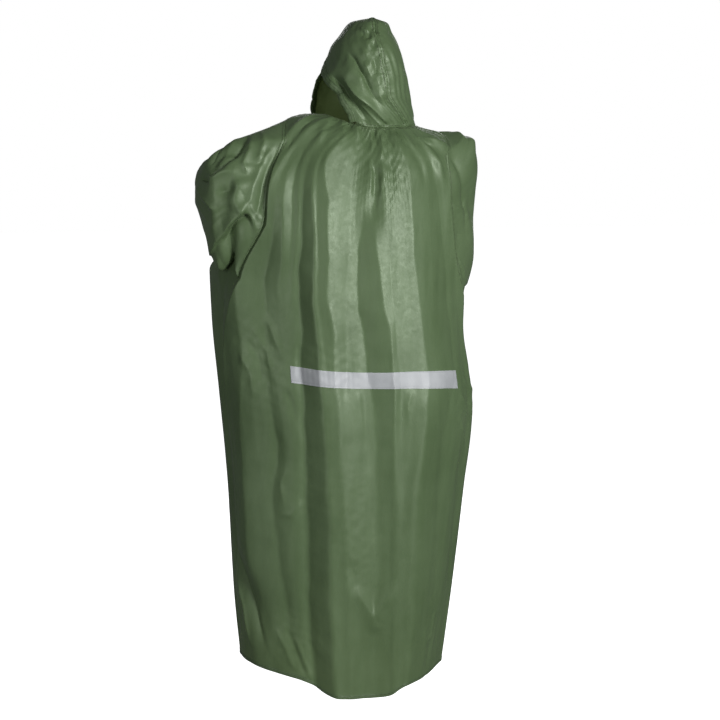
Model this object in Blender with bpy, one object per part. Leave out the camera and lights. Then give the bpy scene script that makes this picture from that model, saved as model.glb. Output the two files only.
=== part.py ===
"""Rain poncho with wide sleeves and a hood, in the form it takes when worn.

Metres, +Z up. The front faces -Y and the wearer's left side is +X. The origin is in the
middle of the neck seam, where the shoulders carry the garment. Every cut piece is a thin
wall of its own, and neighbours meet edge to edge with a small gap along each seam.
"""

import math

import bpy
import numpy as np

WALL = 0.0012
SEAM_GAP = 0.0003

# Rings of the body. A ring angle is 0 at the centre back, 90 at the wearer's left, 180 at
# the front and -90 at the right. "drop" is how far the ring lies below the neck seam at the
# centre back, left/right/back/front are half sizes from the axis, square rounds or squares
# the ring, z_* are its heights at the two sides and the front, and forward moves its left side
# to the front. The back ends at the last columns' ring angles: the shoulder seam, then the
# armhole, then the side seam. Each armhole is open for so many degrees beyond that.
BODY_COLUMNS = (
    "drop", "left", "right", "back", "front", "square", "z_left", "z_right", "z_front",
    "forward", "left_seam", "left_open", "right_seam", "right_open",
)
BODY_RINGS = (
    (0.000, 0.104, 0.112, 0.095, 0.095, 2.1, 0.032, 0.007, -0.035, 0.00, 90, 0, -90, 0),
    (0.030, 0.142, 0.140, 0.118, 0.114, 2.2, 0.033, 0.000, -0.070, 0.00, 90, 0, -90, 0),
    (0.060, 0.180, 0.168, 0.134, 0.132, 2.3, 0.027, -0.006, -0.105, 0.00, 90, 0, -90, 0),
    (0.110, 0.232, 0.196, 0.150, 0.160, 2.4, -0.008, -0.040, -0.150, 0.01, 62, 54, -54, 64),
    (0.200, 0.282, 0.210, 0.165, 0.185, 2.5, -0.080, -0.160, -0.240, 0.02, 57, 63, -50, 74),
    (0.300, 0.314, 0.216, 0.176, 0.195, 2.5, -0.170, -0.280, -0.330, 0.03, 54, 64, -53, 72),
    (0.430, 0.363, 0.224, 0.186, 0.212, 2.5, -0.304, -0.434, -0.450, 0.08, 57, 0, -68, 0),
    (0.520, 0.359, 0.233, 0.190, 0.215, 2.5, -0.440, -0.535, -0.530, 0.08, 69, 0, -80, 0),
    (0.640, 0.350, 0.249, 0.195, 0.210, 2.5, -0.610, -0.668, -0.645, 0.05, 80, 0, -88, 0),
    (0.850, 0.337, 0.229, 0.196, 0.200, 2.4, -0.820, -0.850, -0.850, 0.03, 86, 0, -90, 0),
    (1.100, 0.325, 0.199, 0.197, 0.190, 2.4, -1.070, -1.095, -1.080, 0.02, 90, 0, -90, 0),
    (1.294, 0.312, 0.174, 0.197, 0.180, 2.3, -1.254, -1.272, -1.255, 0.01, 92, 0, -90, 0),
)
ARMHOLE_TOP = 0.060
ARMHOLE_BOTTOM = 0.430
HEM_DROP = 1.294

# The part of the hem that hangs lowest, between two pleats of the back.
TAIL_ANGLE = 14
TAIL_WIDTH = 20
TAIL_DEPTH = 0.028
TAIL_TOP = 0.95

# Rings of each sleeve, from the armhole to the open cuff. "x" is measured outward from the
# middle of the body, heading turns the ring from facing outward (0) to facing forward (90),
# and lean moves its top outward and its bottom inward. The sleeve has left the shape of its
# armhole by ARMHOLE_REACH rings, and its creases start over the first CREASE_START of a ring.
SLEEVE_COLUMNS = (
    "along", "x", "y", "z", "heading", "half_height", "half_depth", "square", "lean",
)
LEFT_SLEEVE = (
    (0.0, 0.245, -0.010, -0.130, 10, 0.140, 0.110, 2.2, 0.000),
    (1.0, 0.298, 0.002, -0.136, 25, 0.116, 0.085, 2.3, 0.004),
    (2.0, 0.336, -0.010, -0.160, 45, 0.108, 0.066, 2.2, 0.014),
    (3.0, 0.345, -0.070, -0.174, 76, 0.104, 0.054, 2.1, 0.020),
    (4.0, 0.332, -0.150, -0.176, 98, 0.098, 0.048, 2.1, 0.020),
    (5.0, 0.308, -0.235, -0.174, 106, 0.090, 0.046, 2.1, 0.018),
)
RIGHT_SLEEVE = (
    (0.0, 0.190, 0.000, -0.210, 10, 0.200, 0.100, 2.6, 0.000),
    (1.0, 0.212, -0.004, -0.198, 35, 0.190, 0.072, 3.6, 0.009),
    (2.0, 0.220, -0.056, -0.200, 70, 0.186, 0.046, 3.6, 0.009),
    (3.0, 0.222, -0.130, -0.205, 90, 0.170, 0.042, 2.8, 0.004),
    (4.0, 0.218, -0.200, -0.210, 95, 0.156, 0.042, 2.4, 0.000),
    (5.0, 0.208, -0.270, -0.215, 100, 0.142, 0.044, 2.2, 0.000),
)
ARMHOLE_REACH = 1.6
CREASE_START = 0.6

# Rings of the hood. "turn" turns the middle seam from the centre back towards the wearer's
# left, and x and y place the ring. The face opening begins "near" degrees from that seam on
# the left half, and "opening" is its width in degrees.
HOOD_COLUMNS = (
    "rise", "x", "y", "z", "left", "right", "back", "front", "square", "turn", "near", "opening",
)
HOOD_RINGS = (
    (0.0, 0.000, 0.000, 0.010, 0.106, 0.112, 0.098, 0.110, 2.1, -40, 68, 152),
    (0.6, 0.008, 0.000, 0.040, 0.106, 0.108, 0.108, 0.176, 2.1, -28, 60, 120),
    (1.2, 0.012, 0.000, 0.075, 0.106, 0.104, 0.114, 0.190, 2.1, -16, 61, 108),
    (2.0, 0.014, 0.000, 0.115, 0.100, 0.098, 0.116, 0.175, 2.1, -13, 80, 85),
    (2.8, 0.011, 0.000, 0.155, 0.083, 0.088, 0.110, 0.122, 2.1, -8, 110, 42),
    (3.4, 0.009, 0.000, 0.190, 0.075, 0.076, 0.100, 0.106, 2.1, -4, 143, 0),
    (4.0, 0.005, 0.002, 0.220, 0.057, 0.058, 0.082, 0.088, 2.0, 0, 166, 0),
    (4.5, 0.001, 0.004, 0.242, 0.040, 0.040, 0.060, 0.058, 2.0, 1, 177, 0),
    (5.0, 0.000, 0.004, 0.257, 0.000, 0.000, 0.032, 0.030, 2.0, 2, 180, 0),
)
OPENING_TOP = 3.4
CROWN = 5.0
NECK_REACH = 1.0
HOOD_SMOOTH_NECK = 0.3
HOOD_SMOOTH_CROWN = 0.6

# The drawcord tunnel round the face opening. Its two ends stop one row above the neck seam.
CASING_WIDTH = 0.016
CASING_WALL = 0.0026
CASING_COLUMNS = 2

# The reflective band lies on the back between two rings and two of the back's columns.
BAND_TOP = 0.552
BAND_BOTTOM = 0.592
BAND_FIRST_COLUMN = 7
BAND_LAST_COLUMN = 29
BAND_WALL = 0.0010
BAND_CLEAR = 0.0003

# How finely the cloth is drawn. The columns keep to the same ring angles within STEADY_ANGLE
# of the middle of a panel and spread or close up towards its edges.
NECK_ROWS = 4
ARMHOLE_ROWS = 12
BELOW_ARMHOLE_ROWS = 4
SKIRT_ROWS = 17
STEADY_ANGLE = 44
BACK_MIDDLE_COLUMNS = 24
FRONT_MIDDLE_COLUMNS = 16
SIDE_COLUMNS = 7
SLEEVE_ROWS = 10
OPENING_ROWS = 9
CROWN_ROWS = 5
HOOD_HALF_COLUMNS = 16

# The back and the front are each drawn in three lengths, from one row of cloth to another, so
# that each length is shallow enough for its collision pieces to follow. They meet below the
# shoulders and at the top edge of the reflective band.
YOKE_ROW = NECK_ROWS + 3
BAND_ROW = NECK_ROWS + ARMHOLE_ROWS + BELOW_ARMHOLE_ROWS
HEM_ROW = BAND_ROW + 1 + SKIRT_ROWS
PANEL_LENGTHS = (("yoke", 0, YOKE_ROW), ("middle", YOKE_ROW, BAND_ROW), ("skirt", BAND_ROW, HEM_ROW))

# Long folds that run down the body: a soft ridge (depth above 0) or trough (below 0) through
# three ring angles, from its first drop to its last, where it fades over a share FOLD_FADE.
# Widths are at FOLD_RADIUS from the axis, and lean makes one flank steeper. The two widest
# rows are where the cloth is drawn in under the arms. The neck stays smooth to NECK_SMOOTH.
LONG_FOLD_COLUMNS = ("drop", "to_drop", "angle", "mid_angle", "to_angle", "width", "depth", "lean")
LONG_FOLDS = (
    (0.10, 1.70, 38, 28, 30, 0.026, -0.022, 0.0),
    (0.04, 1.60, 27, 17, 12, 0.030, 0.013, 0.2),
    (0.14, 1.70, 9, 3, -3, 0.032, -0.009, 0.0),
    (0.10, 1.30, -9, -11, -4, 0.030, 0.011, 0.0),
    (0.40, 1.75, -26, -20, -6, 0.032, -0.011, 0.0),
    (0.35, 1.60, -38, -42, -42, 0.026, 0.008, 0.0),
    (0.12, 0.60, -30, -34, -30, 0.024, -0.006, 0.0),
    (0.34, 1.55, 50, 54, 52, 0.040, 0.014, -0.2),
    (0.34, 1.36, 40, 42, 44, 0.022, -0.009, 0.0),
    (0.08, 0.60, 62, 53, 72, 0.024, 0.012, 0.2),
    (0.40, 1.10, 80, 86, 88, 0.032, -0.010, 0.0),
    (0.09, 0.46, 58, 44, 37, 0.022, 0.008, 0.0),
    (0.10, 0.45, 110, 104, 94, 0.120, -0.078, 0.0),
    (0.08, 0.54, 240, 244, 256, 0.120, -0.065, 0.0),
    (0.30, 1.70, 118, 120, 122, 0.036, -0.014, 0.0),
    (0.10, 1.70, 141, 138, 140, 0.038, 0.013, 0.2),
    (0.25, 1.70, 158, 160, 163, 0.028, -0.013, 0.0),
    (0.06, 1.60, 175, 179, 180, 0.040, 0.010, 0.0),
    (0.32, 1.70, 200, 197, 196, 0.030, -0.015, 0.0),
    (0.12, 1.60, 214, 214, 212, 0.034, 0.010, -0.2),
    (0.36, 1.70, 231, 230, 231, 0.028, -0.012, 0.0),
    (0.48, 1.60, 250, 248, 247, 0.030, 0.009, 0.0),
)
FOLD_RADIUS = 0.25
FOLD_FADE = 0.2
NECK_SMOOTH = 0.03

# Shorter creases, from a start through a middle to an end, each by its place across (degrees)
# and along the cloth: the drop on the body, the ring number on a sleeve or the hood. The
# scales turn such places into metres.
CREASE_COLUMNS = (
    "across", "along", "mid_across", "mid_along", "to_across", "to_along", "width", "depth",
)
BODY_CREASES = (
    (6, 0.06, 5, 0.14, 7, 0.23, 0.014, -0.009),
    (-36, 0.06, -41, 0.11, -46, 0.17, 0.012, 0.007),
    (-22, 0.03, -26, 0.09, -28, 0.16, 0.012, -0.005),
    (57, 0.02, 46, 0.06, 42, 0.11, 0.012, 0.005),
    (92, 0.95, 70, 1.10, 50, 1.32, 0.034, -0.012),
    (12, 1.05, 6, 1.13, 1, 1.04, 0.014, 0.005),
    (130, 0.05, 138, 0.12, 140, 0.20, 0.014, -0.007),
    (218, 0.05, 214, 0.12, 212, 0.22, 0.014, -0.007),
)
HOOD_CREASES = (
    (55, 3.10, 30, 2.05, 16, 0.60, 0.009, -0.007),
    (77, 2.30, 56, 1.30, 47, 0.25, 0.014, -0.012),
    (54, 1.80, 38, 1.05, 24, 0.25, 0.011, 0.007),
    (-28, 3.20, -28, 1.60, -24, 0.40, 0.010, -0.004),
    (-60, 3.00, -66, 1.80, -60, 0.50, 0.014, -0.006),
    (-110, 2.60, -112, 1.60, -100, 0.50, 0.014, 0.006),
)
LEFT_SLEEVE_CREASES = (
    (30, 0.60, 40, 1.40, 62, 2.20, 0.014, -0.010),
    (18, 1.40, 30, 2.10, 60, 2.70, 0.013, 0.008),
    (70, 0.30, 84, 0.90, 120, 1.30, 0.014, 0.009),
    (110, 0.50, 112, 1.20, 118, 2.10, 0.014, -0.010),
    (172, 1.40, 158, 2.50, 160, 4.20, 0.034, 0.026),
    (300, 1.60, 290, 2.10, 250, 2.60, 0.014, -0.010),
    (60, 3.00, 76, 3.50, 100, 4.10, 0.012, -0.006),
    (200, 3.40, 230, 3.80, 260, 4.40, 0.012, 0.006),
)
RIGHT_SLEEVE_CREASES = (
    (50, 0.20, 70, 0.90, 120, 1.40, 0.016, -0.012),
    (30, 0.60, 50, 1.20, 90, 1.80, 0.014, 0.008),
    (130, 0.80, 120, 1.50, 105, 2.30, 0.014, 0.007),
    (300, 0.90, 290, 1.60, 250, 2.40, 0.014, -0.009),
    (70, 2.60, 84, 3.20, 100, 3.90, 0.014, -0.006),
    (200, 3.00, 230, 3.60, 255, 4.30, 0.013, 0.006),
)
HOOD_RADIUS = 0.105
HOOD_RING_STEP = 0.052
SLEEVE_RADIUS = 0.100
SLEEVE_RING_STEP = 0.070
BODY_SCALE = (math.radians(1) * FOLD_RADIUS, 1.0)
HOOD_SCALE = (math.radians(1) * HOOD_RADIUS, HOOD_RING_STEP)
SLEEVE_SCALE = (math.radians(1) * SLEEVE_RADIUS, SLEEVE_RING_STEP)

# Colours are linear.
COATED_TAFFETA = (0.098, 0.143, 0.068)
COATED_ROUGHNESS = 0.42
TAPE_GREY = (0.480, 0.500, 0.520)
TAPE_ROUGHNESS = 0.35

# Small steps that find a surface's direction, and the grid that finds shared seam points.
DROP_STEP = 0.004
RISE_STEP = 0.02
ANGLE_STEP = 0.5
SAME_POINT = 1e-5
TINY = 1e-12


def table(columns, rows):
    """The rows of a table as one array for each named column."""
    return {name: np.array([row[place] for row in rows], float) for place, name in enumerate(columns)}


def smooth(places, values, at):
    """A cubic curve through the values that never overshoots them."""
    steps = np.diff(places)
    slopes = np.diff(values) / steps
    tangents = np.zeros(len(values))
    both = slopes[:-1] * slopes[1:]
    turning = both <= 0
    safe = np.where(turning, 1.0, slopes[:-1] + slopes[1:])
    tangents[1:-1] = np.where(turning, 0.0, 2 * both / safe)
    tangents[0] = slopes[0]
    tangents[-1] = slopes[-1]
    at = np.clip(at, places[0], places[-1])
    left = np.clip(np.searchsorted(places, at, side="right") - 1, 0, len(steps) - 1)
    step = steps[left]
    t = (at - places[left]) / step
    return (
        values[left] * (1 + 2 * t) * (1 - t) ** 2
        + values[left + 1] * t * t * (3 - 2 * t)
        + tangents[left] * step * t * (1 - t) ** 2
        + tangents[left + 1] * step * t * t * (t - 1)
    )


def ring_at(rings, first, at):
    """Every column of a ring table at the given places along its first column."""
    at = np.asarray(at, float)
    return {name: smooth(rings[first], values, at) for name, values in rings.items()}


def rounded(angle, square):
    """How far a unit ring bulges towards its corners."""
    return (np.abs(np.sin(angle)) ** square + np.abs(np.cos(angle)) ** square) ** (-1 / square)


def plain_body(drop, degrees):
    """A point of the body without folds."""
    drop, degrees = np.broadcast_arrays(np.asarray(drop, float), np.asarray(degrees, float))
    ring = ring_at(BODY, "drop", drop)
    angle = np.radians(degrees)
    side = np.sin(angle)
    along = np.cos(angle)
    bulge = rounded(angle, ring["square"])
    half_width = np.where(side > 0, ring["left"], ring["right"])
    half_depth = np.where(along > 0, ring["back"], ring["front"])
    z_side = np.where(side > 0, ring["z_left"], ring["z_right"])
    z_end = np.where(along > 0, -drop, ring["z_front"])
    height = z_side + (z_end - z_side) * along**2
    beside = turned(degrees, TAIL_ANGLE) / TAIL_WIDTH
    tail = ease((drop - TAIL_TOP) / (HEM_DROP - TAIL_TOP))
    height = height - TAIL_DEPTH * np.exp(-(beside**4)) * tail
    x = half_width * side * bulge
    y = half_depth * along * bulge - ring["forward"] * np.maximum(side, 0) ** 2
    return np.stack([x, y, height], axis=-1)


def turned(degrees, start):
    """The angle from start to degrees, between -180 and 180."""
    return (degrees - start + 180) % 360 - 180


def ease(share):
    """A share of 0 to 1 that starts and ends gently."""
    share = np.clip(share, 0, 1)
    return share * share * (3 - 2 * share)


def unit(vectors):
    """The vectors at a length of one."""
    return vectors / np.maximum(np.linalg.norm(vectors, axis=-1, keepdims=True), TINY)


def outward(surface, down, across, small_down, small_across):
    """The outward direction of a surface, from its own small steps."""
    steps_across = surface(down, across + small_across) - surface(down, across - small_across)
    steps_down = surface(down + small_down, across) - surface(down - small_down, across)
    return unit(np.cross(steps_across, steps_down))


def long_fold_height(folds, drop, degrees):
    """Sum of the long folds at places on the body."""
    total = np.zeros(np.shape(degrees))
    metres = math.radians(1) * FOLD_RADIUS
    for row in range(len(folds["depth"])):
        fold = {name: values[row] for name, values in folds.items()}
        share = (drop - fold["drop"]) / (fold["to_drop"] - fold["drop"])
        middle = (
            fold["angle"] * (1 - share) * (1 - 2 * share)
            + fold["mid_angle"] * 4 * share * (1 - share)
            + fold["to_angle"] * share * (2 * share - 1)
        )
        beside = turned(degrees, middle) * metres
        width = fold["width"] * (1 + fold["lean"] * np.tanh(beside / fold["width"]))
        fade = ease(share / FOLD_FADE) * ease((1 - share) / FOLD_FADE)
        total = total + fold["depth"] * fade * np.exp(-((beside / width) ** 2))
    return total


def crease_height(creases, scale, along, across):
    """Sum of the short creases: each is deepest midway and fades out at both ends."""
    total = np.zeros(np.shape(across))
    size = np.array(scale)
    for row in range(len(creases["depth"])):
        crease = {name: values[row] for name, values in creases.items()}
        beside = turned(across, crease["mid_across"])
        place = np.stack([beside, along - crease["mid_along"]], axis=-1) * size
        nearest = np.full(np.shape(across), np.inf)
        fade = np.zeros(np.shape(across))
        for end in ("", "to_"):
            arm = np.array([
                crease[end + "across"] - crease["mid_across"],
                crease[end + "along"] - crease["mid_along"],
            ]) * size
            share = np.clip(place @ arm / (arm @ arm), 0, 1)
            distance = np.sum((place - share[..., None] * arm) ** 2, axis=-1)
            closer = distance < nearest
            nearest = np.where(closer, distance, nearest)
            fade = np.where(closer, 1 - share**3, fade)
        total = total + crease["depth"] * fade * np.exp(-nearest / crease["width"] ** 2)
    return total


def body(drop, degrees):
    """A point of the worn body with its folds."""
    drop, degrees = np.broadcast_arrays(np.asarray(drop, float), np.asarray(degrees, float))
    direction = outward(plain_body, drop, degrees, DROP_STEP, ANGLE_STEP)
    height = long_fold_height(FOLDS, drop, degrees)
    height = height + crease_height(CREASES["body"], BODY_SCALE, drop, degrees)
    height = height * ease(drop / NECK_SMOOTH)
    return plain_body(drop, degrees) + direction * height[..., None]


def body_drops():
    """The drops of the rows of cloth: neck, armhole, then skirt."""
    return np.concatenate([
        np.linspace(0, ARMHOLE_TOP, NECK_ROWS + 1)[:-1],
        np.linspace(ARMHOLE_TOP, ARMHOLE_BOTTOM, ARMHOLE_ROWS + 1)[:-1],
        np.linspace(ARMHOLE_BOTTOM, BAND_TOP, BELOW_ARMHOLE_ROWS + 1),
        np.linspace(BAND_BOTTOM, HEM_DROP, SKIRT_ROWS + 1),
    ])


def column_angles(first, last, middle, middle_columns):
    """Ring angles of a panel's columns: steady in its middle, spread towards its two edges."""
    steady = np.linspace(middle - STEADY_ANGLE, middle + STEADY_ANGLE, middle_columns + 1)
    share = np.linspace(0, 1, SIDE_COLUMNS + 1)[:-1]
    start = first[:, None] + (steady[0] - first)[:, None] * share
    end = last[:, None] + (steady[-1] - last)[:, None] * share[::-1]
    between = np.broadcast_to(steady, (len(first), len(steady)))
    return np.concatenate([start, between, end], axis=1)


def panel_angles():
    """Ring angles of the columns of the back and of the front, for each row."""
    ring = ring_at(BODY, "drop", body_drops())
    whole = 360
    half = 180
    back = column_angles(ring["right_seam"], ring["left_seam"], 0, BACK_MIDDLE_COLUMNS)
    start = ring["left_seam"] + ring["left_open"]
    end = ring["right_seam"] - ring["right_open"] + whole
    front = column_angles(start, end, half, FRONT_MIDDLE_COLUMNS)
    return back, front


def armhole_loop(back_edge, front_edge):
    """The armhole: down its back edge and up its front edge."""
    rows = slice(NECK_ROWS, NECK_ROWS + ARMHOLE_ROWS + 1)
    return np.concatenate([back_edge[rows], front_edge[rows][::-1][1:-1]])


def sleeve_ring(rings, side, along, angle):
    """A point of the sleeve without its armhole: angle 0 is on top, 90 at the back."""
    ring = ring_at(rings, "along", along)
    heading = np.radians(ring["heading"])
    bulge = rounded(angle, ring["square"])
    beside = ring["half_depth"] * np.sin(angle) * bulge
    x = side * (ring["x"] + np.sin(heading) * beside + ring["lean"] * np.cos(angle))
    y = ring["y"] + np.cos(heading) * beside
    z = ring["z"] + ring["half_height"] * np.cos(angle) * bulge
    return np.stack([x, y, z], axis=-1)


def sleeve_grid(rings, creases, side, loop):
    """Rings of the sleeve, which leave the armhole and run to the cuff."""
    angle = np.linspace(0, 2 * np.pi, len(loop) + 1)[:-1]
    along = np.linspace(0, rings["along"][-1], SLEEVE_ROWS + 1)[:, None]
    points = sleeve_ring(rings, side, along, angle)
    left_over = loop - sleeve_ring(rings, side, 0.0, angle)
    points = points + left_over * (1 - ease(along / ARMHOLE_REACH))[..., None]
    away = unit(points - points.mean(axis=1, keepdims=True))
    places = np.broadcast_arrays(along, np.degrees(angle))
    height = crease_height(creases, SLEEVE_SCALE, *places) * ease(along / CREASE_START)
    return points + away * height[..., None]


def plain_hood(rise, degrees):
    """A point of the hood without creases, with the angle counted from its middle seam."""
    rise, degrees = np.broadcast_arrays(np.asarray(rise, float), np.asarray(degrees, float))
    start = np.zeros_like(rise)
    neck = body(start, degrees + HOOD["turn"][0])
    left_over = neck - hood_ring(start, degrees)
    return hood_ring(rise, degrees) + left_over * (1 - ease(rise / NECK_REACH))[..., None]


def hood(rise, degrees):
    """A point of the worn hood."""
    rise, degrees = np.broadcast_arrays(np.asarray(rise, float), np.asarray(degrees, float))
    direction = -outward(plain_hood, rise, degrees, RISE_STEP, ANGLE_STEP)
    height = crease_height(CREASES["hood"], HOOD_SCALE, rise, degrees)
    height = height * ease(rise / HOOD_SMOOTH_NECK)
    height = height * ease((CROWN - rise) / HOOD_SMOOTH_CROWN)
    return plain_hood(rise, degrees) + direction * height[..., None]


def hood_ring(rise, degrees):
    """A point of the hood above its neck, on a level ring."""
    ring = ring_at(HOOD, "rise", rise)
    angle = np.radians(degrees)
    side = np.sin(angle)
    along = np.cos(angle)
    bulge = rounded(angle, ring["square"])
    sideways = np.where(side > 0, ring["left"], ring["right"]) * side * bulge
    lengthways = np.where(along > 0, ring["back"], ring["front"]) * along * bulge
    turn = np.radians(ring["turn"])
    x = ring["x"] + sideways * np.cos(turn) + lengthways * np.sin(turn)
    y = ring["y"] - sideways * np.sin(turn) + lengthways * np.cos(turn)
    return np.stack([x, y, ring["z"]], axis=-1)


def hood_rises():
    """The rows of the hood: beside the face opening, then the crown."""
    return np.concatenate([
        np.linspace(0, OPENING_TOP, OPENING_ROWS + 1)[:-1],
        np.linspace(OPENING_TOP, CROWN, CROWN_ROWS + 1),
    ])


def hood_grids():
    """Rows by columns of the left and the right half, from the middle seam to the opening."""
    rises = hood_rises()[:, None]
    ring = ring_at(HOOD, "rise", rises)
    share = np.linspace(0, 1, HOOD_HALF_COLUMNS + 1)
    whole = 360
    left = hood(rises, ring["near"] * share)
    right = hood(rises, (ring["near"] + ring["opening"] - whole) * share)
    return left, right


def casing_grid(left, right, left_normals, right_normals):
    """The band that goes on from the hood's two front edges, and the normals at those edges."""
    rows = slice(1, OPENING_ROWS + 1)
    edge = np.concatenate([right[rows, -1], left[rows, -1][::-1][1:]])
    normals = np.concatenate([right_normals[rows, -1], left_normals[rows, -1][::-1][1:]])
    tangent = unit(np.gradient(edge, axis=0))
    onward = unit(np.cross(tangent, normals))
    reach = SEAM_GAP + CASING_WIDTH * np.linspace(0, 1, CASING_COLUMNS + 1)
    grid = edge[:, None] + onward[:, None] * reach[:, None]
    return grid, np.broadcast_to(normals[:, None], grid.shape)


def face_normals(points, closed):
    """Outward vector of every vertex, weighted by the area of the faces round it."""
    following = np.roll(points, -1, axis=1) if closed else points[:, 1:]
    here = points if closed else points[:, :-1]
    cross = np.cross(following[1:] - here[:-1], here[1:] - following[:-1])
    normals = np.zeros_like(points)
    columns = np.arange(cross.shape[1])
    beside = (columns + 1) % points.shape[1]
    for rows in (slice(0, -1), slice(1, None)):
        np.add.at(normals[rows], (slice(None), columns), cross)
        np.add.at(normals[rows], (slice(None), beside), cross)
    return normals


def shared_normals(grids, closed):
    """Unit normals of all pieces, where pieces that share a seam point share its normal."""
    keys = {name: np.round(points / SAME_POINT).astype(int) for name, points in grids.items()}
    sums = {}
    for name, points in grids.items():
        own = face_normals(points, closed[name])
        for key, vector in zip(keys[name].reshape(-1, 3), own.reshape(-1, 3)):
            spot = tuple(key)
            sums[spot] = sums.get(spot, 0) + vector
    found = {}
    for name, points in grids.items():
        flat = [sums[tuple(key)] for key in keys[name].reshape(-1, 3)]
        found[name] = unit(np.array(flat).reshape(points.shape))
    return found


def seam_allowance(points, closed):
    """The points with every open edge drawn back by half a seam gap."""
    moved = points.copy()
    half = SEAM_GAP / 2
    moved[0] += unit(points[1] - points[0]) * half
    moved[-1] += unit(points[-2] - points[-1]) * half
    if not closed:
        moved[:, 0] += unit(points[:, 1] - points[:, 0]) * half
        moved[:, -1] += unit(points[:, -2] - points[:, -1]) * half
    return moved


def material(name, colour, roughness):
    """A plain surface of one colour."""
    made = bpy.data.materials.new(name)
    made.use_nodes = True
    surface = made.node_tree.nodes["Principled BSDF"]
    surface.inputs["Base Color"].default_value = (*colour, 1)
    surface.inputs["Roughness"].default_value = roughness
    surface.inputs["Metallic"].default_value = 0
    made.diffuse_color = (*colour, 1)
    return made


def cloth_wall(name, outer, inner, closed, finish):
    """A closed wall between two grids of points, as one object."""
    rows, columns = outer.shape[:2]
    vertices = np.concatenate([outer.reshape(-1, 3), inner.reshape(-1, 3)])
    inside = rows * columns
    faces = []
    around = columns if closed else columns - 1
    for row in range(rows - 1):
        for column in range(around):
            beside = (column + 1) % columns
            a = row * columns + column
            b = row * columns + beside
            c = (row + 1) * columns + beside
            d = (row + 1) * columns + column
            faces.append((a, b, c, d))
            faces.append((inside + a, inside + d, inside + c, inside + b))
    border = [(0, column, 0, (column + 1) % columns) for column in range(around)]
    border += [(rows - 1, (column + 1) % columns, rows - 1, column) for column in range(around)]
    if not closed:
        border += [(row + 1, 0, row, 0) for row in range(rows - 1)]
        border += [(row, columns - 1, row + 1, columns - 1) for row in range(rows - 1)]
    for row, column, to_row, to_column in border:
        a = row * columns + column
        b = to_row * columns + to_column
        faces.append((a, inside + a, inside + b, b))
    mesh = bpy.data.meshes.new(name)
    mesh.from_pydata(vertices.tolist(), [], faces)
    mesh.materials.append(finish)
    mesh.shade_smooth()
    made = bpy.data.objects.new(name, mesh)
    GARMENT.objects.link(made)
    return made


def new_collection(name):
    """A collection of the scene."""
    made = bpy.data.collections.new(name)
    bpy.context.scene.collection.children.link(made)
    return made


def clear_scene():
    """Removes every object, so that only the garment is left."""
    for old in list(bpy.data.objects):
        bpy.data.objects.remove(old, do_unlink=True)


def panel_lengths(panel, points):
    """A panel's grid cut into its lengths, which share the row of points where they meet."""
    return {f"{panel}_{name}": points[first:last + 1] for name, first, last in PANEL_LENGTHS}


def garment_grids():
    """The outer points of every piece, with seam points shared by the pieces they join."""
    drops = body_drops()[:, None]
    back_angles, front_angles = panel_angles()
    back = body(drops, back_angles)
    front = body(drops, front_angles)
    left_loop = armhole_loop(back[:, -1], front[:, 0])
    right_loop = armhole_loop(back[:, 0], front[:, -1])
    left_sleeve = sleeve_grid(SLEEVES["left"], CREASES["left sleeve"], 1, left_loop)
    right_sleeve = sleeve_grid(SLEEVES["right"], CREASES["right sleeve"], -1, right_loop)
    hood_left, hood_right = hood_grids()
    return {
        **panel_lengths("back", back),
        **panel_lengths("front", front),
        "sleeve_left": left_sleeve[:, ::-1],
        "sleeve_right": right_sleeve,
        "hood_left": hood_left[::-1],
        "hood_right": hood_right[::-1, ::-1],
    }


def build():
    """Makes every piece of the garment."""
    taffeta = material("coated taffeta", COATED_TAFFETA, COATED_ROUGHNESS)
    tape = material("reflective tape", TAPE_GREY, TAPE_ROUGHNESS)
    grids = garment_grids()
    closed = {name: name.startswith("sleeve") for name in grids}
    normals = shared_normals(grids, closed)
    for name, points in grids.items():
        outer = seam_allowance(points, closed[name])
        cloth_wall(name, outer, outer - normals[name] * WALL, closed[name], taffeta)
    edge, edge_normals = casing_grid(
        grids["hood_left"][::-1],
        grids["hood_right"][::-1, ::-1],
        normals["hood_left"][::-1],
        normals["hood_right"][::-1, ::-1],
    )
    cloth_wall("hood_casing", edge, edge - edge_normals * CASING_WALL, False, taffeta)
    place = (slice(0, 2), slice(BAND_FIRST_COLUMN, BAND_LAST_COLUMN + 1))
    under = grids["back_skirt"][place] + normals["back_skirt"][place] * BAND_CLEAR
    over = under + normals["back_skirt"][place] * BAND_WALL
    cloth_wall("reflective_strip", over, under, False, tape)


BODY = table(BODY_COLUMNS, BODY_RINGS)
FOLDS = table(LONG_FOLD_COLUMNS, LONG_FOLDS)
HOOD = table(HOOD_COLUMNS, HOOD_RINGS)
SLEEVES = {
    "left": table(SLEEVE_COLUMNS, LEFT_SLEEVE),
    "right": table(SLEEVE_COLUMNS, RIGHT_SLEEVE),
}
CREASES = {
    "body": table(CREASE_COLUMNS, BODY_CREASES),
    "hood": table(CREASE_COLUMNS, HOOD_CREASES),
    "left sleeve": table(CREASE_COLUMNS, LEFT_SLEEVE_CREASES),
    "right sleeve": table(CREASE_COLUMNS, RIGHT_SLEEVE_CREASES),
}
clear_scene()
GARMENT = new_collection("rain_poncho")
build()
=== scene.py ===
# %% [markdown]
# # A rain poncho, worn and seen from behind
# The object is a long rain poncho with wide sleeves and a hood, made of coated polyester
# taffeta. Such cloth is thin and a little stiff, so it hangs in long soft pleats and breaks
# into small sharp creases where it is gathered or pressed. It could be made by a cloth
# simulation over a figure, but there is no figure here, and a simulation would lose the real
# places of the folds. So every panel is one fine sheet of points, worked out from the same
# rings as the measured solids, and the folds are placed on it from short tables.

import math

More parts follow.
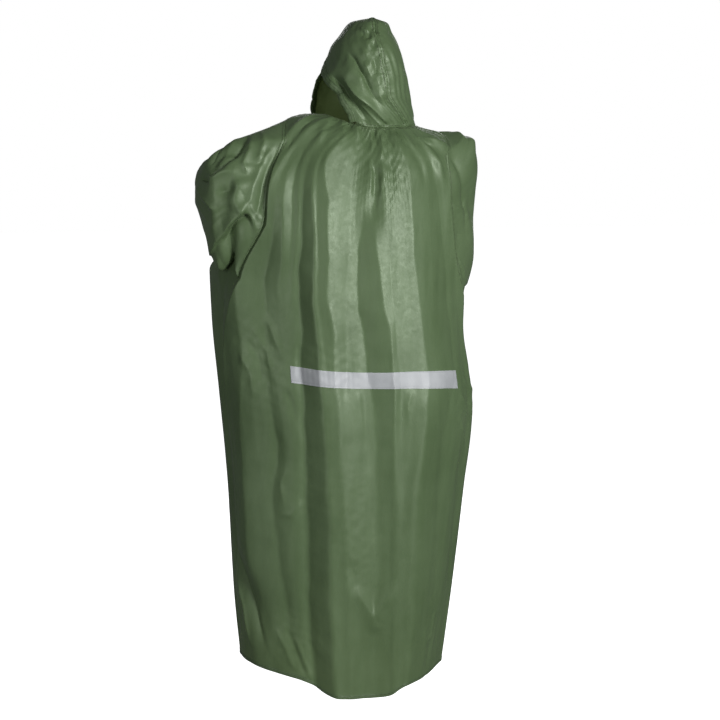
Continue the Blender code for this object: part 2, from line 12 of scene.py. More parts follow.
import bpy
import numpy as np
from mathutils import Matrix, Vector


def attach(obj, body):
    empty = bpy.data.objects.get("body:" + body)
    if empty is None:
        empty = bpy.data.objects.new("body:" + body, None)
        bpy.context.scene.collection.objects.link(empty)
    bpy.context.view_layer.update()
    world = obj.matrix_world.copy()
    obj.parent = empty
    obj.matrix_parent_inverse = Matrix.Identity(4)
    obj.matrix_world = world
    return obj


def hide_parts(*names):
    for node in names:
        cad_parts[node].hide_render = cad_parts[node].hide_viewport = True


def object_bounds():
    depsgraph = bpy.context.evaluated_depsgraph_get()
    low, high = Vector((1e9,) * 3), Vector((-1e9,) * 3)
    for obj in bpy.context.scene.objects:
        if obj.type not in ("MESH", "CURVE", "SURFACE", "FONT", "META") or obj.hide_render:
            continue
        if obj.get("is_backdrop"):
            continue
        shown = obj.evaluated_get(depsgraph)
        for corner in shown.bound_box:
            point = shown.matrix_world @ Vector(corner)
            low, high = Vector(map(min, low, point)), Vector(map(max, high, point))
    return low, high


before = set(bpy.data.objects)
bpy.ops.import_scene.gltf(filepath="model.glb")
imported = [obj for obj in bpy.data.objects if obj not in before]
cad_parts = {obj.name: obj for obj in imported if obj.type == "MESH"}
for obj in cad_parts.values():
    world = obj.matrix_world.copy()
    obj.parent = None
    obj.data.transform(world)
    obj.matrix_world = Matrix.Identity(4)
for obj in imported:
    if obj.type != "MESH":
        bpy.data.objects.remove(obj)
cad_box = [list(corner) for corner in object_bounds()]
bpy.ops.object.select_all(action="DESELECT")
print("solids:", ", ".join(sorted(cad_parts)))
print("box in metres:", [[round(value, 3) for value in corner] for corner in cad_box])

# %% [markdown]
# ## The camera
# The camera comes first, because it shows which folds matter. It stands almost behind the
# garment, a little to its left, and looks slightly down from 3.8 metres away.

# %% Place the camera
CAMERA_PLACE = (0.9945, 3.6382, -0.0859)
CAMERA_TARGET = (0.01835, -0.00492, -0.549)
CAMERA_LENS = 79.23
SENSOR_WIDTH = 36.0


def looking_at(obj, place, target):
    """Puts an object at a place and turns its -Z axis to a target."""
    from_place = np.array(target, float) - np.array(place, float)
    level = math.hypot(from_place[0], from_place[1])
    obj.location = place
    obj.rotation_euler = (
        math.pi / 2 + math.atan2(from_place[2], level),
        0,
        math.atan2(from_place[1], from_place[0]) - math.pi / 2,
    )


bpy.ops.object.camera_add()
camera = bpy.context.object
camera.name = "view_from_behind"
camera.data.lens = CAMERA_LENS
camera.data.sensor_width = SENSOR_WIDTH
camera.data.dof.use_dof = False
looking_at(camera, CAMERA_PLACE, CAMERA_TARGET)
bpy.context.scene.camera = camera
print("camera at", CAMERA_PLACE, "with a lens of", CAMERA_LENS, "mm")

# %% [markdown]
# ## Rings of the garment
# A pattern cutter thinks in girths: how far the cloth reaches to each side at the shoulder,
# the chest, the hip and the hem. The tables below hold those girths, a line of text for each
# ring, and a smooth curve joins the rings. These are the same rings as the solids have, so the
# visible cloth lies on the solids.

# %% Read tables of numbers
# millimetres in a metre
MILLIMETRES = 1000


def numbers(text):
    """The numbers in a line of text."""
    return [float(word) for word in text.split()]


def table(text):
    """Columns of numbers by name. The first line of the text holds the names."""
    names, *lines = text.strip().splitlines()
    return dict(zip(names.split(), np.array([numbers(line) for line in lines]).T))


def rows_of(text):
    """The same table row by row."""
    columns = table(text)
    return [dict(zip(columns, row)) for row in zip(*columns.values())]


# %% Small helpers for curves and surfaces
def smooth(places, values, at):
    """A cubic curve through the values that never overshoots them."""
    steps = np.diff(places)
    slopes = np.diff(values) / steps
    tangents = np.zeros(len(values))
    both = slopes[:-1] * slopes[1:]
    turning = both <= 0
    safe = np.where(turning, 1.0, slopes[:-1] + slopes[1:])
    tangents[1:-1] = np.where(turning, 0.0, 2 * both / safe)
    tangents[0] = slopes[0]
    tangents[-1] = slopes[-1]
    at = np.clip(at, places[0], places[-1])
    left = np.clip(np.searchsorted(places, at, side="right") - 1, 0, len(steps) - 1)
    step = steps[left]
    t = (at - places[left]) / step
    return (
        values[left] * (1 + 2 * t) * (1 - t) ** 2
        + values[left + 1] * t * t * (3 - 2 * t)
        + tangents[left] * step * t * (1 - t) ** 2
        + tangents[left + 1] * step * t * t * (t - 1)
    )


def ring_at(rings, at):
    """Every column of a ring table at the given places along its first column."""
    at = np.asarray(at, float)
    places = next(iter(rings.values()))
    return {name: smooth(places, values, at) for name, values in rings.items()}


def rounded(angle, square):
    """How far a unit ring bulges towards its corners."""
    return (np.abs(np.sin(angle)) ** square + np.abs(np.cos(angle)) ** square) ** (-1 / square)


def turned(degrees, start):
    """The angle from start to degrees, between -180 and 180."""
    return (degrees - start + 180) % 360 - 180


def ease(share):
    """A share of 0 to 1 that starts and ends gently."""
    share = np.clip(share, 0, 1)
    return share * share * (3 - 2 * share)


def bell(distance, width):
    """1 at a line and 0 far from it."""
    return np.exp(-((distance / width) ** 2))


def unit(vectors):
    """The vectors at a length of one."""
    return vectors / np.maximum(np.linalg.norm(vectors, axis=-1, keepdims=True), 1e-12)


def outward(surface, down, across, small_down, small_across=0.5):
    """The outward direction of a surface, from its own small steps."""
    steps_across = surface(down, across + small_across) - surface(down, across - small_across)
    steps_down = surface(down + small_down, across) - surface(down - small_down, across)
    return unit(np.cross(steps_across, steps_down))


def paired(first, second):
    """Two sets of places at one shape."""
    return np.broadcast_arrays(np.asarray(first, float), np.asarray(second, float))


# %% Rings of the body, from the neck seam to the hem
# A ring angle is 0 at the centre back, 90 at the wearer's left, 180 at the front and -90 at
# the right. "drop" is how far the ring lies below the neck seam at the centre back.
BODY = table("""
drop left right back front square z_left z_right z_front forward \
left_seam left_open right_seam right_open
    0 .104 .112 .095 .095 2.1   .032   .007  -.035   0 90  0 -90  0
  .03 .142  .14 .118 .114 2.2   .033      0   -.07   0 90  0 -90  0
  .06  .18 .168 .134 .132 2.3   .027  -.006  -.105   0 90  0 -90  0
  .11 .232 .196  .15  .16 2.4  -.008   -.04   -.15 .01 62 54 -54 64
   .2 .282  .21 .165 .185 2.5   -.08   -.16   -.24 .02 57 63 -50 74
   .3 .314 .216 .176 .195 2.5   -.17   -.28   -.33 .03 54 64 -53 72
  .43 .363 .224 .186 .212 2.5  -.304  -.434   -.45 .08 57  0 -68  0
  .52 .359 .233  .19 .215 2.5   -.44  -.535   -.53 .08 69  0 -80  0
  .64  .35 .249 .195  .21 2.5   -.61  -.668  -.645 .05 80  0 -88  0
  .85 .337 .229 .196   .2 2.4   -.82   -.85   -.85 .03 86  0 -90  0
  1.1 .325 .199 .197  .19 2.4  -1.07 -1.095  -1.08 .02 90  0 -90  0
1.294 .312 .174 .197  .18 2.3 -1.254 -1.272 -1.255 .01 92  0 -90  0
""")
ARMHOLE_TOP = 0.060
ARMHOLE_BOTTOM = 0.430
HEM_DROP = 1.294
# The part of the hem that hangs lowest, between two pleats of the back.
TAIL_ANGLE = 14
TAIL_WIDTH = 20
TAIL_DEPTH = 0.028
TAIL_TOP = 0.95


def plain_body(drop, degrees):
    """A point of the body without folds."""
    drop, degrees = paired(drop, degrees)
    ring = ring_at(BODY, drop)
    angle = np.radians(degrees)
    side = np.sin(angle)
    along = np.cos(angle)
    bulge = rounded(angle, ring["square"])
    half_width = np.where(side > 0, ring["left"], ring["right"])
    half_depth = np.where(along > 0, ring["back"], ring["front"])
    z_side = np.where(side > 0, ring["z_left"], ring["z_right"])
    z_end = np.where(along > 0, -drop, ring["z_front"])
    height = z_side + (z_end - z_side) * along**2
    beside = turned(degrees, TAIL_ANGLE) / TAIL_WIDTH
    tail = ease((drop - TAIL_TOP) / (HEM_DROP - TAIL_TOP))
    height = height - TAIL_DEPTH * np.exp(-(beside**4)) * tail
    x = half_width * side * bulge
    y = half_depth * along * bulge - ring["forward"] * np.maximum(side, 0) ** 2
    return np.stack([x, y, height], axis=-1)


print("body rings:", len(BODY["drop"]), "hem drop", HEM_DROP)

# %% [markdown]
# ## Long folds
# Cloth that hangs from the neck and shoulders falls in long folds. Each is a soft ridge or
# trough along a curve that starts at one ring angle, drifts to another and fades out at both
# ends. A row holds the drops between which it runs, three ring angles, its half width on the
# cloth, and its height, which is negative for a trough. "lean" makes one flank steeper.

# %% The long folds of the solids
FOLD_RADIUS = 0.25
FOLD_FADE = 0.2
NECK_SMOOTH = 0.03
LONG_FOLDS = rows_of("""
drop to_drop angle mid_angle to_angle width depth lean
 .1  1.7  38  28  30 .026 -.022   0
.04  1.6  27  17  12  .03  .013  .2
.14  1.7   9   3  -3 .032 -.009   0
 .1  1.3  -9 -11  -4  .03  .011   0
 .4 1.75 -26 -20  -6 .032 -.011   0
.35  1.6 -38 -42 -42 .026  .008   0
.12   .6 -30 -34 -30 .024 -.006   0
.34 1.55  50  54  52  .04  .014 -.2
.34 1.36  40  42  44 .022 -.009   0
.08   .6  62  53  72 .024  .012  .2
 .4  1.1  80  86  88 .032  -.01   0
.09  .46  58  44  37 .022  .008   0
 .1  .45 110 104  94  .12 -.078   0
.08  .54 240 244 256  .12 -.065   0
 .3  1.7 118 120 122 .036 -.014   0
 .1  1.7 141 138 140 .038  .013  .2
.25  1.7 158 160 163 .028 -.013   0
.06  1.6 175 179 180  .04   .01   0
.32  1.7 200 197 196  .03 -.015   0
.12  1.6 214 214 212 .034   .01 -.2
.36  1.7 231 230 231 .028 -.012   0
.48  1.6 250 248 247  .03  .009   0
""")

# %% Finer long folds that only the visible cloth has
FINE_FOLDS = rows_of("""
drop to_drop angle mid_angle to_angle width depth lean
.08  1.3 128 129 131 .012   .003  0
.06  1.4 150 149 150  .01 -.0026  0
.04 1.35 168 169 171 .011   .003 .2
.04 1.45 188 188 188 .011  -.003  0
.06  1.3 206 206 204  .01  .0026  0
 .1  1.4 222 222 221 .011 -.0028  0
.46  1.4 240 240 239  .01  .0026  0
 .5  1.4 259 260 258 .012   .003  0
 .5 1.35 108 109 110 .012   .003  0
""")


def long_fold_height(folds, drop, degrees):
    """Sum of long folds at places on the body."""
    total = np.zeros(np.shape(degrees))
    metres = math.radians(1) * FOLD_RADIUS
    for fold in folds:
        share = (drop - fold["drop"]) / (fold["to_drop"] - fold["drop"])
        middle = (
            fold["angle"] * (1 - share) * (1 - 2 * share)
            + fold["mid_angle"] * 4 * share * (1 - share)
            + fold["to_angle"] * share * (2 * share - 1)
        )
        beside = turned(degrees, middle) * metres
        width = fold["width"] * (1 + fold["lean"] * np.tanh(beside / fold["width"]))
        fade = ease(share / FOLD_FADE) * ease((1 - share) / FOLD_FADE)
        total = total + fold["depth"] * fade * bell(beside, width)
    return total


print("long folds:", len(LONG_FOLDS), "and fine ones:", len(FINE_FOLDS))

# %% [markdown]
# Taffeta is a little stiff, so the folds of the back do not roll over softly like knitwear.
# They are flat strips that meet in lines, and a strip keeps one brightness over its width.
# The two tables below hold these lines from left to right, at fourteen drops: the ring angle
# of each, and how many millimetres it stands out there from the body without folds. The strips
# follow the long folds of the solids. Each line wanders a little, so no edge is ruled.

# %% The lines where the strips of the back meet
FOLD_DROPS = np.array(numbers("0 .1 .2 .3 .4 .48 .56 .64 .74 .88 1.02 1.12 1.21 1.3"))
LINE_ANGLES = np.array([numbers(line) for line in """
  74   72   72    72    74   76   76   80   84   84    84   84   82   80
  58   56   54    55    56   57   57   62   67   67    67   67   58   50
  54   53   51    49    46   46   47   47   46   50    48   45   44   42
51.5   50   48    44    40   40   41   42   41   43    43 41.5 40.5 38.5
  49   48   44    40    37   37   38   39   38 40.5  40.5   39 37.5 36.5
  46 45.5   41    38    35   34   35   36 35.5   38    38   37   36   35
  43   42   39    36    33 31.5   33 32.5   33 33.5  33.5 34.5 33.5   33
  37   38   34    30    27   26   25   25 24.5   24    24   24 23.5   23
  33   36   32    29    25   24   23 22.5 21.5 20.5    20   20   20 19.5
  29   34   27    25    22   20   20 19.2   19   18    17   17 16.5   16
  17   19 16.5    16    16   15   16 16.8 16.5   15  13.2   13 12.3 11.5
  14   15 14.5  14.3  12.3 11.3 10.5   10    8  7.5   7.5    7  6.5    6
  11   12   11  12.5    11    9    8  5.5  5.2  4.8     5    5  4.5    4
   7    9  6.5     5     2    0   -1   -2 -1.5   -3    -3   -3   -3   -3
   2    3  1.5     0  -2.5 -3.5   -5   -6 -5.5 -6.5    -7   -7   -7   -7
 -16  -16  -15 -15.5   -18  -19  -21  -19  -17  -14 -13.5  -13  -12  -11
 -34  -36  -38   -41 -42.5  -44  -42  -35  -32  -32   -34  -34  -35  -36
 -48  -50  -49   -51   -54  -56  -57  -57  -56  -55   -55  -55  -55  -55
 -58  -60  -60   -62   -64  -66  -66  -66  -66  -66   -66  -66  -66  -66
""".strip().splitlines()])
LINE_LIFTS = np.array([numbers(line) for line in """
  .1   .3 -14.9 -21.8   -30  -2.9  -2.8  -6.4  -8.9  -7.8  -4.1    .4    .4    .2
 7.5    2   6.4  -4.6  -6.4   3.1    .9  -3.9  -5.7  -4.2  -3.8  -7.2  -5.7   -13
  .9 -2.8   2.3  -9.9 -21.6 -20.2 -17.6 -22.3 -30.6 -26.8 -27.6 -28.4 -20.7 -13.1
-1.8 -4.9     0  -5.9 -14.9 -20.5 -18.4 -19.4 -23.4 -22.3 -23.5 -24.3 -20.4 -14.4
-4.3 -6.5  -8.7 -13.3 -17.8 -21.1 -18.7 -19.3 -21.4 -21.5 -22.7 -23.2 -20.4 -16.1
-3.2 -3.8  -6.8 -13.2 -17.4 -21.4 -20.6 -21.1 -22.7 -22.2 -23.5 -24.3 -21.8 -18.4
-2.4 -3.1  -8.8 -15.7 -20.8 -22.1 -26.1 -26.9 -27.5 -29.3 -30.7 -28.9 -26.8 -23.3
 -.8   .8   3.1     5   7.3   4.9   7.4   5.5   6.9   7.9   7.3     9   9.4   9.5
-1.2   .5   1.1   2.7   4.8   2.4   4.5     5   6.6     7   5.8   4.6   3.8   4.6
   2  3.9   6.3   7.1   6.9   4.4   3.6   4.6   6.7     8   7.7   5.9   3.6   2.2
-7.9 -9.3  -7.7  -7.5  -6.1  -7.5  -6.1    -1   1.6   2.6   1.4   -.6  -3.9  -6.1
-8.7 -9.8  -8.7  -8.5 -10.3 -10.3  -9.3 -10.5   -11  -8.4  -5.9  -5.5  -5.6  -6.5
-8.1 -8.1  -7.1  -9.9 -11.8 -12.8 -11.6 -11.6 -11.8  -9.4  -6.8  -4.4  -3.8  -4.4
-5.8 -4.7   -.3   7.1   8.5   9.6   8.5   8.4   6.4   7.8   8.2   8.2   6.6   6.5
-1.8  2.6   5.9   5.3   5.8   6.6     6   5.1     5   8.2   8.4     7   4.2   3.8
 6.7  8.5   9.5  11.1   9.6  11.3  12.9  17.1  16.8  17.7    16    15  11.9   9.3
-3.7 -6.4  -9.5 -10.3 -11.1 -10.6  -5.6  -6.2  -7.8  -7.6  -7.6  -8.9  -9.8 -10.4
-4.3 -6.3  -8.1  -8.9  -9.4  -9.6  -7.4  -8.4  -9.5  -9.7  -9.3    -9  -8.7  -8.4
  .2   .3   -.3   -.9  -2.6  -4.1    .4    .4    .4    .4    .4    .4    .4    .5
""".strip().splitlines()])
# length along the drop in metres, and how much of the whole it makes
WANDER_PARTS = ((0.210, 1.0), (0.120, 0.9), (0.066, 0.5), (0.041, 0.2))
WANDER_DEGREES = 0.42
WANDER_SEED = 300

# %% Lay the strips between the lines
# A line is rounded over a few degrees. It is crisp high on the back, softer below SOFT_DROP,
# and softest there towards the right. Beside the outer lines the strips fade into soft folds.
CRISP = 0.45
SOFTER = 0.7
SOFTEST = 2.0
SOFT_DROP = 0.55
SOFT_REACH = 0.4
SOFTEST_ANGLE = 10
SOFTEST_REACH = 24
ROUNDING = ((-1.0, 0.17), (-0.5, 0.2), (0.0, 0.26), (0.5, 0.2), (1.0, 0.17))
SIDE_FADE = 8


def fold_wander(drop, seed):
    """How far a line strays along its way, with a size of about one."""
    random = np.random.default_rng(seed)
    total = np.zeros(np.shape(drop))
    for length, size in WANDER_PARTS:
        phase = 2 * np.pi * drop / (length * random.uniform(0.8, 1.25)) + random.uniform(0, 6.3)
        total = total + np.arcsin(np.sin(phase) * 0.97) / 1.3 * size
    return total / 2


def strip_height(drop, degrees):
    """Height of the flat strips of the back. All points of a row share one drop."""
    soft = long_fold_height(LONG_FOLDS, drop, degrees)
    height = np.array(soft)
    row_drops = drop[:, 0]
    lines = np.array([
        smooth(FOLD_DROPS, angles, row_drops)
        + fold_wander(row_drops, WANDER_SEED + place) * WANDER_DEGREES
        for place, angles in enumerate(LINE_ANGLES)
    ])
    lifts = np.array([smooth(FOLD_DROPS, lift, row_drops) / MILLIMETRES for lift in LINE_LIFTS])
    for row, row_drop in enumerate(row_drops):
        across = turned(degrees[row], 0.0)
        softest = SOFTEST * ease((SOFTEST_ANGLE - across) / SOFTEST_REACH)
        round_off = CRISP + ease((row_drop - SOFT_DROP) / SOFT_REACH) * (SOFTER + softest)
        strips = sum(
            weight * np.interp(across + share * round_off, lines[::-1, row], lifts[::-1, row])
            for share, weight in ROUNDING
        )
        inside = ease((lines[0, row] - across) / SIDE_FADE)
        inside = inside * ease((across - lines[-1, row]) / SIDE_FADE)
        height[row] = soft[row] + (strips - soft[row]) * inside
    return height


# %% [markdown]
# ## Short creases
# A crease starts where the cloth is pinched, at the neck seam, an armhole or an elbow, and
# runs out into the panel. A line of text holds the points of its path, each by degrees and by
# drop or ring number, then after a bar the half widths of its two flanks and its height in
# millimetres, and after another bar over which share of its length it grows and fades. A
# crease with one narrow flank has a crisp edge there, as pressed cloth has.

# %% Raise creases along their paths
CREST_RADIUS = 0.0016
CREASE_REACH = 4.0


def creases(text):
    """The creases in lines of text. A line that starts with # says where they are."""
    rows = []
    for line in text.strip().splitlines():
        if not line.strip().startswith("#"):
            path, sizes, shares = line.split("|")
            points = np.array([numbers(point) for point in path.split(",")])
            sizes = [size / MILLIMETRES for size in numbers(sizes)]
            rows.append((points, *sizes, *numbers(shares)))
    return rows


def nearest_on(line, spot):
    """Squared distance to a path, the share of it that is passed there, and the side."""
    steps = np.diff(line, axis=0)
    lengths = np.linalg.norm(steps, axis=1)
    before = np.concatenate([[0], np.cumsum(lengths)])
    nearest = np.full(len(spot), np.inf)
    share = np.zeros(len(spot))
    side = np.ones(len(spot))
    for first, step, length, passed in zip(line[:-1], steps, lengths, before):
        offset = spot - first
        travel = np.clip(offset @ step / length**2, 0, 1)
        gap = offset - travel[:, None] * step
        distance = np.sum(gap**2, axis=1)
        closer = distance < nearest
        nearest = np.where(closer, distance, nearest)
        share = np.where(closer, (passed + travel * length) / before[-1], share)
        side = np.where(closer, np.sign(step[0] * gap[:, 1] - step[1] * gap[:, 0]), side)
    return nearest, share, side


def crease_height(rows, scale, across, along, crisp=True):
    """Sum of creases at places on the cloth. The scale turns a path's numbers into metres."""
    across, along = paired(across, along)
    total = np.zeros(across.shape)
    for path, left_flank, right_flank, height, grows, fades in rows:
        line = (path - path[0]) * scale
        beside = turned(across, path[0, 0]) * scale[0]
        place = np.stack([beside, (along - path[0, 1]) * scale[1]], axis=-1)
        reach = CREASE_REACH * max(left_flank, right_flank)
        near = (place > line.min(axis=0) - reach) & (place < line.max(axis=0) + reach)
        near = near.all(axis=-1)
        if not near.any():
            continue
        nearest, share, side = nearest_on(line, place[near])
        flank = np.where(side > 0, left_flank, right_flank)
        if crisp:
            profile = np.exp((CREST_RADIUS - np.sqrt(nearest + CREST_RADIUS**2)) / flank)
        else:
            profile = np.exp(-nearest / flank**2)
        total[near] += height * ease(share / grows) * ease((1 - share) / fades) * profile
    return total


# %% [markdown]
# The first table holds the creases that the solids have too. The second holds the finer ones,
# which start at the neck gathers, the armholes and the hem.

# %% Creases of the body
BODY_SCALE = np.array([math.radians(1) * FOLD_RADIUS, 1.0])
BODY_CREASES = creases("""
6 .06, 5 .14, 7 .23 | 14 14 -9 | .5 .5
-36 .06, -41 .11, -46 .17 | 12 12 7 | .5 .5
-22 .03, -26 .09, -28 .16 | 12 12 -5 | .5 .5
57 .02, 46 .06, 42 .11 | 12 12 5 | .5 .5
92 .95, 70 1.1, 50 1.32 | 34 34 -12 | .5 .5
12 1.05, 6 1.13, 1 1.04 | 14 14 5 | .5 .5
130 .05, 138 .12, 140 .2 | 14 14 -7 | .5 .5
218 .05, 214 .12, 212 .22 | 14 14 -7 | .5 .5
""")
BODY_FINE_CREASES = creases("""
# neck gathers on the left back
60 .004, 52 .03, 44 .075 | 6 12 4 | .05 .7
47 0, 38 .022, 28 .05 | 5 10 4 | .05 .7
40 0, 30 .018, 18 .046 | 5 9 -4 | .05 .7
32 0, 22 .02, 10 .06 | 5 9 4.5 | .05 .7
24 0, 16 .018, 6 .044 | 5 8 -3.5 | .05 .7
# neck gathers on the right back
12 0, 9 .026, 8 .07 | 5 7 4 | .05 .6
6 0, 5 .022, 4 .06 | 6 6 -4.5 | .05 .6
0 0, 0 .03, 3 .09 | 6 8 4.5 | .05 .7
-6 0, -7 .024, -10 .064 | 5 6 -4 | .05 .6
-12 0, -13 .03, -15 .09 | 6 8 4 | .05 .6
-19 0, -19 .024, -20 .06 | 5 6 -3 | .05 .6
-26 0, -26 .028, -27 .07 | 6 6 3 | .05 .6
# the pinched wedge below them
10 .06, 8 .11, 7 .19 | 4 12 5 | .3 .5
2 .07, 2 .12, 5 .2 | 10 4 4.5 | .3 .5
8 .08, 5 .105, 3 .12 | 4 6 -2.5 | .3 .4
-2 .06, -5 .1, -4 .15 | 5 7 -3 | .3 .5
# ridges towards the right shoulder
-40 .01, -39 .06, -42 .105, -46 .15 | 4 12 6.5 | .2 .5
-47 .03, -56 .078, -66 .11 | 6 12 6 | .3 .4
-40 .03, -47 .08, -52 .118 | 7 8 -5 | .3 .5
# the folded edge in front of the left armhole and the recess behind it
60 .1, 55 .2, 52 .3, 55 .43, 66 .52, 77 .64, 84 .8 | 30 4.5 12 | .15 .4
66 .44, 76 .5, 87 .6, 92 .76 | 20 12 -11 | .2 .5
# the folded edge in front of the right armhole
-52 .09, -48 .2, -51 .3, -66 .43, -77 .52 | 4.5 22 8 | .15 .4
# ridges towards the left shoulder and armhole
75 .01, 68 .06, 61 .12, 56 .17 | 6 12 5.5 | .2 .4
66 .03, 60 .08, 55 .14 | 7 7 -5 | .3 .4
# crumpled places beside the band's left end
52 .5, 46 .545, 44 .6 | 5 7 3.5 | .3 .4
56 .52, 50 .56, 49 .62 | 5 6 -3 | .3 .4
47 .47, 43 .51, 38 .56 | 5 6 3 | .3 .4
60 .54, 54 .59, 55 .65 | 5 7 3 | .3 .4
40 .6, 37 .64, 36 .69 | 5 5 -3 | .3 .4
# crumpled places beside the band's right end
-46 .6, -54 .64, -62 .66 | 5 7 3.5 | .3 .4
-50 .56, -60 .59, -72 .6 | 6 8 3.5 | .3 .4
-44 .65, -52 .7, -60 .78 | 5 7 3 | .3 .4
-58 .62, -64 .68, -66 .76 | 6 5 -3 | .3 .4
-12 .59, -9 .63, -10 .69 | 6 8 2.2 | .2 .5
12 .59, 11 .64, 10 .72 | 5 8 2.2 | .2 .5
# the bent fold low on the back
17 1.02, 12 1.07, 7 1.112, 2 1.08, -4 1.03 | 8 14 4.5 | .3 .3
17 .98, 15 1.03, 14 1.07 | 5 7 -3 | .3 .3
# the drawn left bottom
88 1, 74 1.08, 66 1.15, 58 1.25 | 6 14 -5 | .2 .3
84 1.08, 76 1.16, 70 1.26 | 5 8 4 | .3 .3
52 1.18, 47 1.22, 42 1.28 | 6 6 3 | .3 .2
46 1.17, 42 1.22, 37 1.285 | 5 6 -3 | .3 .2
41 1.19, 38 1.235, 34 1.29 | 5 6 2.8 | .3 .2
# faint marks low on the right
-30 1.09, -38 1.14, -36 1.22 | 6 10 2.5 | .3 .4
-24 1.17, -31 1.205, -40 1.19 | 5 8 2.2 | .3 .4
-50 .95, -58 1.03, -60 1.12 | 6 10 2.5 | .3 .4
40 .78, 45 .83, 43 .9 | 6 10 2.5 | .3 .4
34 .86, 40 .9, 48 .91 | 5 9 2.2 | .3 .4
# the front, finished as plainly as it is hidden
150 .01, 152 .06, 146 .13 | 7 10 4 | .1 .6
166 .006, 165 .06, 162 .12 | 6 10 -3.5 | .1 .6
182 .004, 184 .06, 182 .14 | 7 9 4 | .1 .6
198 .006, 200 .05, 204 .12 | 6 9 -3.5 | .1 .6
214 .01, 220 .06, 226 .13 | 7 10 4 | .1 .6
236 .44, 228 .5, 220 .6 | 8 12 4.5 | .2 .6
124 .44, 132 .5, 140 .62 | 8 12 4.5 | .2 .6
150 .54, 166 .58, 180 .57 | 8 14 -3.5 | .3 .4
196 .64, 182 .7, 172 .8 | 7 12 3 | .3 .4
140 1.06, 150 1.13, 160 1.16 | 8 14 3.5 | .3 .4
226 1.03, 214 1.11, 206 1.18 | 8 14 -3.5 | .3 .4
""")
print("body creases:", len(BODY_CREASES) + len(BODY_FINE_CREASES))

# %% [markdown]
# ## Crumpled cloth
# Between the creases the coated cloth is never quite flat: it keeps a faint memory of how it
# was packed. That is drawn as smooth random waves, made of many cosines with a fixed seed,
# stretched along the fall of the cloth. Their sharpest lines are made by folding the waves.

# %% Smooth random relief
def phases(random, count, across, along, size_across, size_along):
    """Random slanting waves over the cloth, one after another."""
    for _ in range(count):
        turn = random.normal(0, 1, 2)
        shift = random.uniform(0, 2 * np.pi)
        yield turn[0] * across / size_across + turn[1] * along / size_along + shift


def waves(across, along, size_across, size_along, seed, count=36):
    """Smooth random relief with a height of about one."""
    random = np.random.default_rng(seed)
    total = np.zeros(np.shape(across))
    for phase in phases(random, count, across, along, size_across, size_along):
        total = total + np.cos(phase)
    return total * math.sqrt(2 / count)


def crumple(across, along, size_across, size_along, seed, count=5):
    """Small flat facets that meet in crisp lines, as packed cloth keeps. Height is about one."""
    random = np.random.default_rng(seed)
    bend = waves(across, along, size_across * 3.5, size_along * 3.5, seed + 500, 14)
    total = np.zeros(np.shape(across))
    for phase in phases(random, count, across, along, size_across, size_along):
        total = total + np.arcsin(np.sin(phase + bend * 1.4) * 0.995)
    return total / (1.57 * math.sqrt(count))


# %% Where the body is crumpled
# The reach is in degrees and in metres, the height in millimetres before PATCH_STRENGTH.
BODY_PATCHES = rows_of("""
angle drop reach_across reach_along height
 12  .02 60  .06   2
  8 .012 14 .022 3.4
  0   .1 14  .09 2.6
 24  .54 12  .06 1.6
 50  .57 10  .08 2.2
-56  .62 14   .1 1.5
 30  .86 12  .16  .7
 40  1.2 14   .1   1
-40 1.15 20  .14  .9
 14  .96  8  .12  .8
 72   .3 20   .2   1
-62   .1 16  .08   1
180  .04 60  .08  .9
160   .9 30   .2  .6
210   .5 30   .2  .7
""")
PATCH_STRENGTH = 0.36
CALM_AT_SEAM = 5
# the fine relief starts this far above the neck seam, and grows over this length
FINE_ABOVE = 0.004
FINE_GROWS = 0.012


def body_crumple(drop, degrees):
    """Random relief of the body in metres. It fades at the right seam, where panels meet."""
    across = np.radians(degrees) * FOLD_RADIUS
    total = waves(across, drop, 0.010, 0.130, 11) * 0.00018
    total = total + crumple(across, drop, 0.013, 0.100, 13) * 0.0005
    total = total + crumple(across, drop, 0.030, 0.150, 15) * 0.0009
    fine = crumple(across, drop, 0.0036, 0.0110, 14) * PATCH_STRENGTH
    for patch in BODY_PATCHES:
        beside = (turned(degrees, patch["angle"]) / patch["reach_across"]) ** 2
        beside = beside + ((drop - patch["drop"]) / patch["reach_along"]) ** 2
        total = total + np.exp(-beside) * fine * patch["height"] / MILLIMETRES
    seam = ring_at(BODY, drop)["right_seam"]
    return total * ease(np.abs(turned(degrees, seam)) / CALM_AT_SEAM)


def body(drop, degrees):
    """A point of the worn body with its folds, and its outward direction."""
    drop, degrees = paired(drop, degrees)
    direction = outward(plain_body, drop, degrees, 0.004)
    height = strip_height(drop, degrees)
    height = height + long_fold_height(FINE_FOLDS, drop, degrees)
    height = height + crease_height(BODY_CREASES, BODY_SCALE, degrees, drop, crisp=False)
    height = height * ease(drop / NECK_SMOOTH)
    fine = crease_height(BODY_FINE_CREASES, BODY_SCALE, degrees, drop)
    fine = fine + body_crumple(drop, degrees)
    height = height + fine * ease((drop + FINE_ABOVE) / FINE_GROWS)
    return plain_body(drop, degrees) + direction * height[..., None], direction


# %% [markdown]
# ## Seams, hems and edges
# Poncho panels are joined by narrow seams that are turned over and stitched down: the cloth
# dips at the join, is slightly thicker beside it, and puckers a little between the stitches.
# The hem is turned up twice and stitched, so it is a narrow thicker band with a stitched line
# on top. Each edge of a panel goes round its turn and back inside, so that it looks like
# folded cloth and not like paper.

# %% Relief along a sewn edge
SEAM_RISE = 0.0009
SEAM_WIDTH = 0.0075
DIP_WIDTH = 0.0016
STITCH_DEPTH = 0.0005
STITCH_IN = 0.0014
PUCKER_RISE = 0.0006
PUCKER_LENGTH = 0.013
PUCKER_REACH = 0.014
PUCKER_PARTS = (1, 1.62, 0.71)


